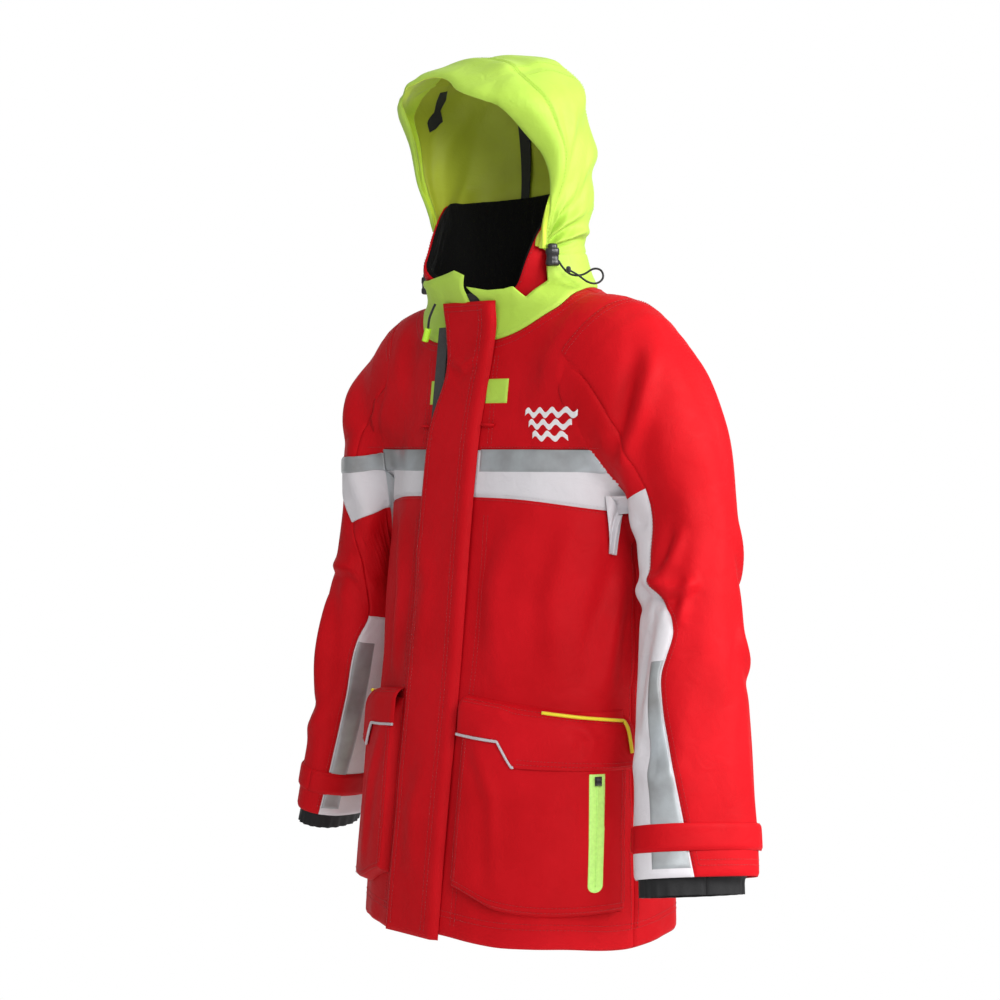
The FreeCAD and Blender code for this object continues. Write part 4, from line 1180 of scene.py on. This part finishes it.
def build_hood():
    brim = 0.13
    u, v = hood_grid(brim, 1.0, 0.03, 0.97, 90, 130)
    piece = sheet_piece("hood_shell_cloth", hood_cloth, u, v, NEON, off=0.0, thick=0.0018)
    hood_fabric(piece)
    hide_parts("hood_shell")
    u, v = hood_grid(0.0, brim, 0.03, 0.97, 12, 130)
    piece = sheet_piece("hood_brim_cloth", hood_cloth, u, v, NEON, off=0.0006, thick=0.0024)
    hood_fabric(piece)
    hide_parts("hood_brim")
    under_hood = lambda wrinkle: Cloth(hood_base, wrinkle, 0.004, 0.004)
    facing = under_hood(lambda a, b: hood_wrinkle(a, b) * 0.6 - 0.0042 + 0.0040 * (1 - step(a, 0, 0.02)))
    lining = under_hood(lambda a, b: hood_wrinkle(a, b) * 0.5 - 0.0050
                        + ripple(a, b, 71, 12, 0.08, 0.22, 0.6, 0.0016))
    strap = under_hood(lambda a, b: np.full(np.shape(a), -0.0095))
    u, v = hood_grid(0.0, brim + 0.012, 0.03, 0.97, 12, 130)
    # the facing's neon is painted brighter than the shell's, as painted light inside the brim
    piece = sheet_piece("hood_facing", facing, u, v, NEON_FACING_PAINTED_BRIGHT, off=0.0, thick=0.0012)
    hood_fabric(piece)
    u, v = hood_grid(brim - 0.01, 0.99, 0.035, 0.965, 70, 110)
    piece = sheet_piece("hood_lining_cloth", lining, u, v, OLIVE, off=-0.0006, thick=0.0006, soft=False)
    hood_fabric(piece)
    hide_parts("hood_lining")
    runs = []
    for k in (0.014, 0.030, brim - 0.006, brim + 0.008):
        runs.append([(k, t) for t in np.linspace(0.05, 0.95, 60)])
    for t in (0.5 - 0.128, 0.5 - 0.102, 0.5 + 0.102, 0.5 + 0.128):
        runs.append([(k, t) for k in np.linspace(brim + 0.01, 0.97, 30)])
    piece = stitches("hood_stitching", hood_cloth, runs, NEON_THREAD, off=0.0023)
    hood_fabric(piece)
    # black strap inside the back and black tab inside the peak
    u = np.linspace(0.43, 0.76, 40)[:, None]
    v = 0.580 + 0.24 * (u - 0.465) + np.array([-0.015, -0.013, 0, 0.013, 0.015])[None, :]
    piece = sheet_piece("hood_strap_webbing", strap, u, v, BLACK, thick=0.0014, roll=0.001)
    hood_fabric(piece)
    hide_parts("hood_volume_strap")
    t = np.linspace(0, 5, 41)[:, None]
    front = np.interp(t, range(6), [0.170, 0.180, 0.192, 0.181, 0.177, 0.184])
    back = np.interp(t, range(6), [0.193, 0.211, 0.212, 0.230, 0.237, 0.212])
    v = np.interp(t, range(6), [0.630, 0.647, 0.666, 0.678, 0.684, 0.696])
    across = np.array([0, 0.07, 0.5, 0.93, 1])[None, :]
    piece = sheet_piece("hood_peak_tab_cloth", strap, front + (back - front) * across, v - 0.004 * across, BLACK,
                        off=0.003, thick=0.0016, roll=0.001)
    hood_fabric(piece)
    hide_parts("hood_peak_tab")


# ---------------------------------------------------------------- collar
# height, half width, depth in front, depth at the back
COLLAR = np.array([(-0.030, 0.084, 0.072, 0.050), (-0.008, 0.084, 0.084, 0.050), (0.010, 0.084, 0.101, 0.050),
                   (0.040, 0.085, 0.105, 0.052), (0.075, 0.087, 0.098, 0.055), (0.112, 0.089, 0.088, 0.058)])
# height of the collar's edge by degrees from the front: it stands open, further on the wearer's right
NEAR_RIM = ([0, 20, 37, 51, 57, 69, 78, 90, 120, 180],
            [-0.019, -0.020, -0.0175, -0.002, 0.0095, 0.056, 0.083, 0.093, 0.102, 0.108])
FAR_RIM = ([0, 24, 38, 46, 56, 80, 120, 180], [-0.008, -0.003, 0.030, 0.066, 0.088, 0.098, 0.103, 0.108])


def collar_rim(theta):
    """The height of the collar's edge round the neck."""
    degrees = np.degrees(theta)
    return np.where(degrees > 0, smooth(np.abs(degrees), *NEAR_RIM), smooth(np.abs(degrees), *FAR_RIM))


def collar_base(theta, t):
    """The collar by the way round it and by its height from 0 to 1."""
    theta, t = pair(theta, t)
    z = -0.030 + (collar_rim(theta) + 0.030) * t
    half, front, back = (smooth(z, COLLAR[:, 0], COLLAR[:, column]) for column in (1, 2, 3))
    depth = np.where(np.cos(theta) >= 0, front, back)
    x = half * signed_power(np.sin(theta), 0.95)
    y = -depth * signed_power(np.cos(theta), 0.95)
    degrees = -np.degrees(theta)
    far = step(degrees, 8, 42) * (1 - step(degrees, 55, 85)) * smooth(z, *NECK_OPEN)
    return np.stack([x - 0.016 * far, y - 0.012 * far, z], axis=-1)


def build_collar():
    theta = np.linspace(math.radians(18), math.radians(342), 180)[:, None]
    t = stations(26, 0.1)[None, :]
    ripples = lambda a, b: ripple(a * 0.08, b * 0.1, 81, 8, 0.05, 0.12, 1.0, 0.0012) * np.clip(b, 0, 1)
    outer = Cloth(lambda a, b: collar_base(wrap(a), b), ripples, 0.01, 0.01)
    piece = sheet_piece("collar_shell_cloth", outer, theta, t, RED, off=-0.0005, thick=0.0018)
    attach(piece, "jacket")
    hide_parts("collar_shell")
    fleece = Cloth(lambda a, b: collar_base(wrap(a), b), lambda a, b: ripples(a, b)
                   + ripple(a * 0.08, b * 0.1, 83, 20, 0.006, 0.02, 1.0, 0.0008), 0.01, 0.01)
    past_rim = np.concatenate([t[0], [1.02]])[None, :]
    piece = sheet_piece("collar_fleece_cloth", fleece, theta, past_rim, FLEECE, off=-0.0058, thick=0.0048,
                        roll=0.003)
    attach(piece, "jacket")
    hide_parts("collar_fleece")
    runs = [[(a, 0.93) for a in np.radians(np.linspace(30, 330, 60))]]
    piece = stitches("collar_stitching", outer, runs, RED_THREAD, off=0.0016)
    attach(piece, "jacket")


# ---------------------------------------------------------------- storm flap
def flap_wrinkle(x, z):
    """The folds of the storm flap."""
    total = ripple(x, z, 91, 8, 0.05, 0.16, 3.0, 0.0014)
    total = total + fold(x, z, [(-0.030, -0.098), (0.000, -0.103), (0.028, -0.094)], 0.006, 0.004)
    total = total + fold(x, z, [(-0.040, -0.30), (-0.020, -0.36), (-0.030, -0.45)], 0.014, 0.003)
    return total + fold(x, z, [(0.010, -0.55), (-0.010, -0.62), (0.000, -0.70)], 0.016, 0.003)


def flap_base(x, z):
    """The flap stands a little off the front and turns down to its sewn edge on the wearer's left."""
    x, z = pair(x, z)
    front = FRONT_TOP_DEPTH - FRONT_SLOPE * z
    off = 0.0072 - 0.0050 * step(x, FLAP_EDGE - 0.010, FLAP_EDGE) + 0.0010 * np.sin(z * 17)
    lean = 0.014 * step(z, -0.20, -0.05) - 0.006 * step(z, -0.06, -0.02)
    pinch = 0.016 * np.exp(-((z + 0.108) / 0.045) ** 2) * np.clip(0.35 - x / FLAP_EDGE, 0, 1.35) / 1.35
    return np.stack([x + lean + pinch, -(front + off), z], axis=-1)


flap_cloth = Cloth(flap_base, flap_wrinkle, 0.001, 0.002)


def build_storm_flap():
    x = -FLAP_EDGE + 2 * FLAP_EDGE * stations(26, 0.09)[:, None]
    z = (HEM + 0.003) + (-0.0265 - HEM - 0.003) * stations(190, 0.73)[None, :]
    piece = sheet_piece("storm_flap_cloth", flap_cloth, x, z, RED, thick=0.0026, roll=0.0026)
    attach(piece, "storm_flap")
    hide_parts("storm_flap")
    runs = []
    for inset in (0.005, 0.011):
        runs.append([(-FLAP_EDGE + inset, v) for v in np.linspace(HEM + 0.01, -0.032, 20)])
        runs.append([(FLAP_EDGE - 0.012 - inset, v) for v in np.linspace(HEM + 0.01, -0.032, 20)])
        runs.append([(u, -0.0265 - inset) for u in np.linspace(-FLAP_EDGE + 0.005, FLAP_EDGE - 0.015, 6)])
    piece = stitches("storm_flap_stitching", flap_cloth, runs, RED_THREAD, off=0.0030)
    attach(piece, "storm_flap")


# ---------------------------------------------------------------- cargo pockets
POCKET_INNER = 0.062          # front edge, from the front centre
POCKET_SIDE_SHARE = 0.470     # side edge, as a share of the girth
POCKET_TOP = -0.495
ZIP_A, ZIP_WIDTH, ZIP_LOW, ZIP_HIGH = 0.80, 0.082, 0.12, 0.70   # the side zip, in the pocket's own shares


def pocket_bulge(a, b):
    """How far the pocket stands off the body over its width and height (0 to 1 each)."""
    edge = np.minimum(np.minimum(a * 0.20, (1 - a) * 0.20), b * 0.22)
    wall = 1 - np.exp(-(np.maximum(edge, 0) / 0.0035) ** 2)
    crown = 0.75 + 0.25 * np.sin(np.pi * np.clip(a, 0, 1)) * (0.6 + 0.4 * b)
    return POCKET_DEPTH * wall * crown * (1 - 0.9 * step(b, 0.86, 1.0))


def over_pocket(side, a, z, before=0.0, past=0.0):
    """A point on the body where a pocket lies: a runs from the pocket's front edge to its side."""
    inner = (POCKET_INNER - before) / half_girth(z)
    h = inner + (POCKET_SIDE_SHARE + past - inner) * a
    p, n = body_cloth.shape(side * h, z)
    return p + n * (body_wrinkle(side * h, z) * 0.6)[..., None]


def pocket_cloth(side):
    """The pocket's outside: a runs from the front edge to the side, b from the lower edge up."""
    def base(a, b):
        a, b = pair(a, b)
        low = smooth(a, [0, 0.05, 0.28, 0.34, 1.0], [-0.700, -0.702, -0.720, -0.722, -0.722])
        return over_pocket(side, a, low + (POCKET_TOP - low) * b)

    def wrinkle(a, b):
        waves = ripple(a * 0.2, b * 0.22, 101 + side, 10, 0.06, 0.16, 1.6, 0.0018)
        crease = fold(a * 0.2, b * 0.22, [(0.02, 0.19), (0.05, 0.12), (0.06, 0.02)], 0.010, 0.003)
        return pocket_bulge(a, b) + (waves + crease) * np.clip(pocket_bulge(a, b) / 0.008, 0, 1)

    return Cloth(base, wrinkle, 0.004, 0.004, flip=side)


def flap_over_pocket(side):
    """The flap's outside: a runs from the front edge to the side, b from the lower edge up to the sewn edge."""
    def base(a, b):
        a, b = pair(a, b)
        top = smooth(a, [0, 0.5, 1.0], [-0.481, -0.491, -0.503])
        bottom = np.interp(a, [0, 0.27, 0.36, 1.0], [-0.527, -0.530, -0.559, -0.561])
        return over_pocket(side, a, bottom + (top - bottom) * b, before=0.003, past=0.012)

    def wrinkle(a, b):
        stand = (POCKET_DEPTH + 0.0035) * np.clip(1.04 - np.clip(b, 0, 1) ** 8, 0, 1)
        ends = 0.8 + 0.2 * np.sin(np.pi * np.clip(a, 0, 1))
        waves = ripple(a * 0.2, b * 0.08, 111 + side, 9, 0.05, 0.12, 1.0, 0.0013)
        crease = fold(a * 0.2, b * 0.08, [(0.135, 0.065), (0.150, 0.045), (0.148, 0.015)], 0.007, 0.0035)
        return stand * ends + waves + crease

    return Cloth(base, wrinkle, 0.004, 0.004, flip=side)


def ordered(side, u):
    """Columns run the other way on the wearer's right, so that the outside faces out."""
    return u if side == LEFT else u[::-1]


def build_pocket(side_name, side):
    cloth = pocket_cloth(side)
    a = ordered(side, stations(70, 0.20, edge=0.0016))[:, None]
    b = stations(70, 0.22, edge=0.0016)[None, :]
    piece = sheet_piece("pocket_cloth_" + side_name, cloth, a, b, RED, thick=0.0014, off=0.0018)
    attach(piece, "jacket")
    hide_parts("pocket_" + side_name)
    runs = []
    for inset in (0.03, 0.055):
        runs.append([(inset, t) for t in np.linspace(0.05, 0.9, 12)])
        runs.append([(t, inset) for t in np.linspace(0.03, 0.97, 30)])
        runs.append([(1 - inset, t) for t in np.linspace(0.05, 0.9, 12)])
    piece = stitches("pocket_stitching_" + side_name, cloth, runs, RED_THREAD, off=0.0036)
    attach(piece, "jacket")
    # bright zip strip down the pocket's side, with a rounded lower end
    t = stations(8, 0.017)[:, None]
    run = stations(60, 0.125)[None, :]
    b_line = ZIP_LOW + (ZIP_HIGH - ZIP_LOW) * run
    narrow = np.sqrt(np.clip(1 - np.clip(1 - (b_line - ZIP_LOW) / 0.035, 0, 1) ** 2, 0.02, 1))
    a_line = ZIP_A + side * (t - 0.5) * ZIP_WIDTH * narrow
    piece = sheet_piece("pocket_zip_tape_" + side_name, cloth, a_line, b_line, NEON_ZIP, off=0.0034, thick=0.0010,
                        roll=0.0010)
    stands_for_both(piece, side, "pocket_zip_strips")
    path = cloth.at(ZIP_A, np.linspace(ZIP_LOW + 0.03, ZIP_HIGH, 30), 0.0046)
    piece = tube("pocket_zip_coil_" + side_name, path, 0.0011, NEON_ZIP, sides=8)
    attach(piece, "jacket")
    t = ordered(side, stations(6, 0.009))[:, None]
    run = stations(8, 0.013)[None, :]
    piece = sheet_piece("pocket_zip_runner_" + side_name, cloth, ZIP_A + 0.034 * (t - 0.5), 0.645 + 0.045 * run,
                        ZIP, off=0.0082, thick=0.0030, roll=0.0012)
    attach(piece, "pocket_zip_slider_" + side_name)
    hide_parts("pocket_zip_slider_" + side_name)


def build_pocket_flap(side_name, side):
    cloth = flap_over_pocket(side)
    a = ordered(side, stations(70, 0.20))[:, None]
    b = stations(26, 0.08)[None, :]
    piece = sheet_piece("pocket_flap_cloth_" + side_name, cloth, a, b, RED, thick=0.0022, roll=0.0024, off=0.0008)
    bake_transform(piece)
    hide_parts("pocket_flap_" + side_name)
    runs = []
    for inset in (0.07, 0.14):
        runs.append([(t, inset) for t in np.linspace(0.38, 0.98, 20)])
        runs.append([(t, 1 - inset) for t in np.linspace(0.02, 0.98, 30)])
    piece = stitches("pocket_flap_stitching_" + side_name, cloth, runs, RED_THREAD, off=0.0034)
    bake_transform(piece)
    # piping: bright yellow round the side corner, pale grey along the front of the lower edge
    u, v = finely([(0.50, 0.93), (0.70, 0.925), (0.93, 0.925), (0.94, 0.70), (0.965, 0.32)], 90)
    yellow = tube("pocket_flap_yellow_piping_" + side_name, cloth.at(u, v, 0.0052), 0.0021, PIPE_YELLOW, sides=8)
    u, v = finely([(0.0, 0.02), (0.13, 0.0), (0.27, 0.0), (0.33, 0.0), (0.37, 0.02)], 90)
    grey = tube("pocket_flap_grey_piping_" + side_name, cloth.at(u, v, 0.0018), 0.0017, PIPE_GREY, sides=8)
    for piece in (yellow, grey):
        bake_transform(piece)
    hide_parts("pocket_flap_piping_" + side_name)


# ---------------------------------------------------------------- small trim
PATCH_BOTTOM, PATCH_TOP, PATCH_WIDTH = -0.146, -0.118, 0.034
PATCH_INNER = {LEFT: 0.049, RIGHT: 0.022}     # the right one lies partly under the storm flap's edge
LOOP_HEIGHT = -0.172
WAVES_TOP, WAVE_PITCH, WAVE_LENGTH, WAVE_SWING, WAVE_STROKE = -0.158, 0.013, 0.0175, 0.0030, 0.0065


def build_chest_trim():
    for side_name, side in SIDES:
        left, right = mirror_edges(side, at_x(PATCH_INNER[side]), at_x(PATCH_INNER[side] + PATCH_WIDTH))
        piece = body_panel("chest_patch_cloth_" + side_name, left, right, constant(PATCH_BOTTOM),
                           constant(PATCH_TOP), 10, 10, NEON, off=0.0016, thick=0.0012, roll=0.0012)
        stands_for_both(piece, side, "chest_patches")
        x = np.linspace(0.050, 0.066, 24)
        arch = 0.0005 + 0.0045 * np.sin(np.pi * (x - x[0]) / (x[-1] - x[0])) ** 0.7
        path = body_cloth.at(side * x / half_girth(LOOP_HEIGHT), LOOP_HEIGHT, arch + 0.0012)
        piece = tube("lanyard_loop_cloth_" + side_name, path, 0.0040, RED, sides=10, flat=0.35)
        stands_for_both(piece, side, "lanyard_loops")
    # a plain printed mark of three waves on the chest
    for row in range(3):
        x = np.linspace(0.112 + 0.006 * row, 0.182 - 0.006 * row, 50)
        t = stations(4, 0.006, edge=0.0004)[None, :]
        z = WAVES_TOP - WAVE_PITCH * row + WAVE_SWING * np.sin((x - x[0]) / WAVE_LENGTH * 2 * math.pi)
        z = z[:, None] + (t - 0.5) * WAVE_STROKE
        h = (x / half_girth(-0.16))[:, None]
        piece = sheet_piece("chest_wave_print_%d" % (row + 1), body_cloth, h, z, PRINT, off=0.0016, thick=0.0004,
                            roll=0.0004)
        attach(piece, "jacket")


def build_locks():
    for side_name, _ in SIDES:
        low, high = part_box("cord_lock_body_" + side_name)
        place = ((low[0] + high[0]) / 2, (low[1] + high[1]) / 2, low[2])
        tall = high[2] - low[2]
        r = (high[0] - low[0]) / 2
        profile = [(r * 0.72, 0), (r * 0.92, 0.0008), (r, 0.0025), (r, tall * 0.30), (r * 0.90, tall * 0.36),
                   (r * 0.90, tall * 0.60), (r, tall * 0.66), (r, tall - 0.0022), (r * 0.93, tall - 0.0006),
                   (r * 0.80, tall), (r * 0.78, tall - 0.003)]
        piece = lathe("cord_lock_barrel_" + side_name, profile, place, LOCK, ribs=12, rib_depth=0.0005)
        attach(piece, "jacket")
        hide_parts("cord_lock_body_" + side_name)
        low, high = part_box("lock_button_" + side_name)
        tall = high[2] - low[2]
        r = (high[0] - low[0]) / 2
        profile = [(r, 0), (r, tall - 0.0026), (r * 0.94, tall - 0.0010), (r * 0.75, tall),
                   (r * 0.5, tall - 0.0006), (r * 0.2, tall - 0.0009)]
        piece = lathe("cord_lock_button_" + side_name, profile, (place[0], place[1], low[2]), LOCK)
        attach(piece, "lock_button_" + side_name)
        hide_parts("lock_button_" + side_name)


def curve_piece(name, points, diameter, material):
    """One open NURBS spline with the route's points as its control points."""
    curve = bpy.data.curves.new(name, "CURVE")
    curve.dimensions = "3D"
    spline = curve.splines.new("NURBS")
    spline.points.add(len(points) - 1)
    for point, place in zip(spline.points, points):
        point.co = (*place, 1)
    spline.order_u = 3
    spline.use_endpoint_u = True
    spline.resolution_u = 12
    curve.bevel_depth = diameter / 2
    curve.bevel_resolution = 4
    curve.use_fill_caps = True
    curve.materials.append(material)
    piece = bpy.data.objects.new(name, curve)
    bpy.context.scene.collection.objects.link(piece)
    return piece


HOOD_CORD = [(0.104, -0.031, 0.019), (0.109, -0.027, 0.008), (0.117, -0.020, 0.001), (0.126, -0.011, 0.002),
             (0.133, -0.003, 0.010), (0.141, 0.003, 0.008), (0.144, 0.004, -0.002), (0.140, -0.003, -0.009),
             (0.133, -0.012, -0.007), (0.125, -0.019, 0.002), (0.116, -0.026, 0.008)]
NECK_CORD = [(-0.049, -0.092, -0.026), (-0.052, -0.095, -0.035), (-0.057, -0.096, -0.045),
             (-0.059, -0.095, -0.055)]


def build_cords():
    cord = curve_piece("hood_cord_braid", HOOD_CORD, 0.0025, CORD)
    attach(cord, "jacket")
    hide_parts("hood_cord_left")
    knot = lathe("hood_cord_knot", [(0.0012, -0.004), (0.0026, -0.0030), (0.0031, 0), (0.0026, 0.0030),
                                    (0.0012, 0.004)], HOOD_CORD[-1], CORD, sides=14)
    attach(knot, "jacket")
    cord = curve_piece("neck_cord_braid", NECK_CORD, 0.003, CORD)
    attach(cord, "jacket")
    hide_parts("neck_cord_right")
    axis = np.array([-0.35, -0.05, -1.0]) / math.sqrt(0.35 ** 2 + 0.05 ** 2 + 1)
    path = [np.array(NECK_CORD[-1]) + axis * t for t in np.linspace(0, 0.016, 9)]
    end = tube("neck_cord_end_moulded", path, 0.0040, RUBBER, sides=16)
    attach(end, "jacket")
    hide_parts("neck_cord_end_right")


def dress_cad_nodes():
    """The hard small pieces keep their CAD shape and get their material."""
    finishes = {"zip_slider": ZIP, "zip_pull": ZIP, "zip_teeth": ZIP, "zip_end_box": ZIP, "zip_tapes": BLACK,
                "flap_hook_strip": BLACK, "flap_loop_strip": BLACK, "lock_spring_left": STEEL,
                "lock_spring_right": STEEL, "hanging_loop": BLACK}
    for node, material in finishes.items():
        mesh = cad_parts[node].data
        for index in range(len(mesh.materials)):
            mesh.materials[index] = material
        if not mesh.materials:
            mesh.materials.append(material)


# ---------------------------------------------------------------- camera, light and floor
AZIMUTH = math.radians(50)
DISTANCE = 2.75
EYE = -0.20
LENS = 82.4
LOOKS_DOWN = math.radians(1.25)
FLOOR_HEIGHT, FLOOR_RADIUS = -1.45, 2.3


def build_stage():
    """Floor, background, lamps and camera."""
    camera = bpy.data.objects.new("camera", bpy.data.cameras.new("camera"))
    camera.data.lens = LENS
    camera.location = (math.sin(AZIMUTH) * DISTANCE, -math.cos(AZIMUTH) * DISTANCE, EYE)
    aim = Vector((-0.0162, -0.0193, EYE - DISTANCE * math.tan(LOOKS_DOWN)))
    camera.rotation_euler = (aim - camera.location).to_track_quat("-Z", "Y").to_euler()
    bpy.context.scene.collection.objects.link(camera)
    bpy.context.scene.camera = camera

    material = Look("studio_white").finish({}, Base_Color=(0.93, 0.93, 0.93, 1), Roughness=0.9)
    turns = [math.radians(a) for a in range(0, 360, 5)]
    rim = [(FLOOR_RADIUS * math.cos(a), FLOOR_RADIUS * math.sin(a), FLOOR_HEIGHT) for a in turns]
    floor = new_object("floor", rim, [tuple(range(len(rim)))], material, smooth_shading=False)

    def area(name, place, size, power, target=(0, 0, -0.25)):
        light = bpy.data.objects.new(name, bpy.data.lights.new(name, "AREA"))
        light.data.size = size
        light.data.energy = power
        light.location = place
        light.rotation_euler = (Vector(target) - Vector(place)).to_track_quat("-Z", "Y").to_euler()
        bpy.context.scene.collection.objects.link(light)

    area("key", (2.37, 1.27, 0.8), 1.4, 94)
    area("near_fill", (2.5, -1.1, 0.7), 1.4, 50)
    area("front_fill", (0.5, -2.7, 0.3), 2.2, 9)
    area("top", (0.3, -0.2, 2.4), 1.6, 14)
    world = bpy.data.worlds.new("studio")
    world.use_nodes = True
    tree = world.node_tree
    place = tree.nodes.new("ShaderNodeTexCoord")
    behind = tree.nodes.new("ShaderNodeVectorMath")
    behind.operation = "DOT_PRODUCT"
    behind.inputs[1].default_value = (-math.sin(AZIMUTH), math.cos(AZIMUTH), 0)
    bright = tree.nodes.new("ShaderNodeMapRange")
    bright.interpolation_type = "SMOOTHSTEP"
    for limit, value in (("From Min", 0.76), ("From Max", 0.95), ("To Min", 0.38), ("To Max", 1.0)):
        bright.inputs[limit].default_value = value
    tree.links.new(place.outputs["Generated"], behind.inputs[0])
    tree.links.new(behind.outputs["Value"], bright.inputs["Value"])
    tree.links.new(bright.outputs["Result"], tree.nodes["Background"].inputs["Strength"])
    tree.nodes["Background"].inputs["Color"].default_value = (1, 1, 1, 1)
    bpy.context.scene.world = world
    bpy.context.scene.view_settings.view_transform = "Standard"


build_stage()
build_cords()
build_body()
build_body_stitching()
for side_name, side in SIDES:
    build_sleeve(side_name, side)
    build_inner_cuff(side_name, side)
    build_cuff_tab(side_name, side)
    build_pocket(side_name, side)
    build_pocket_flap(side_name, side)
build_sleeve_band("right", RIGHT)
build_fold_in()
build_hood()
build_collar()
build_storm_flap()
build_chest_trim()
build_locks()
dress_cad_nodes()
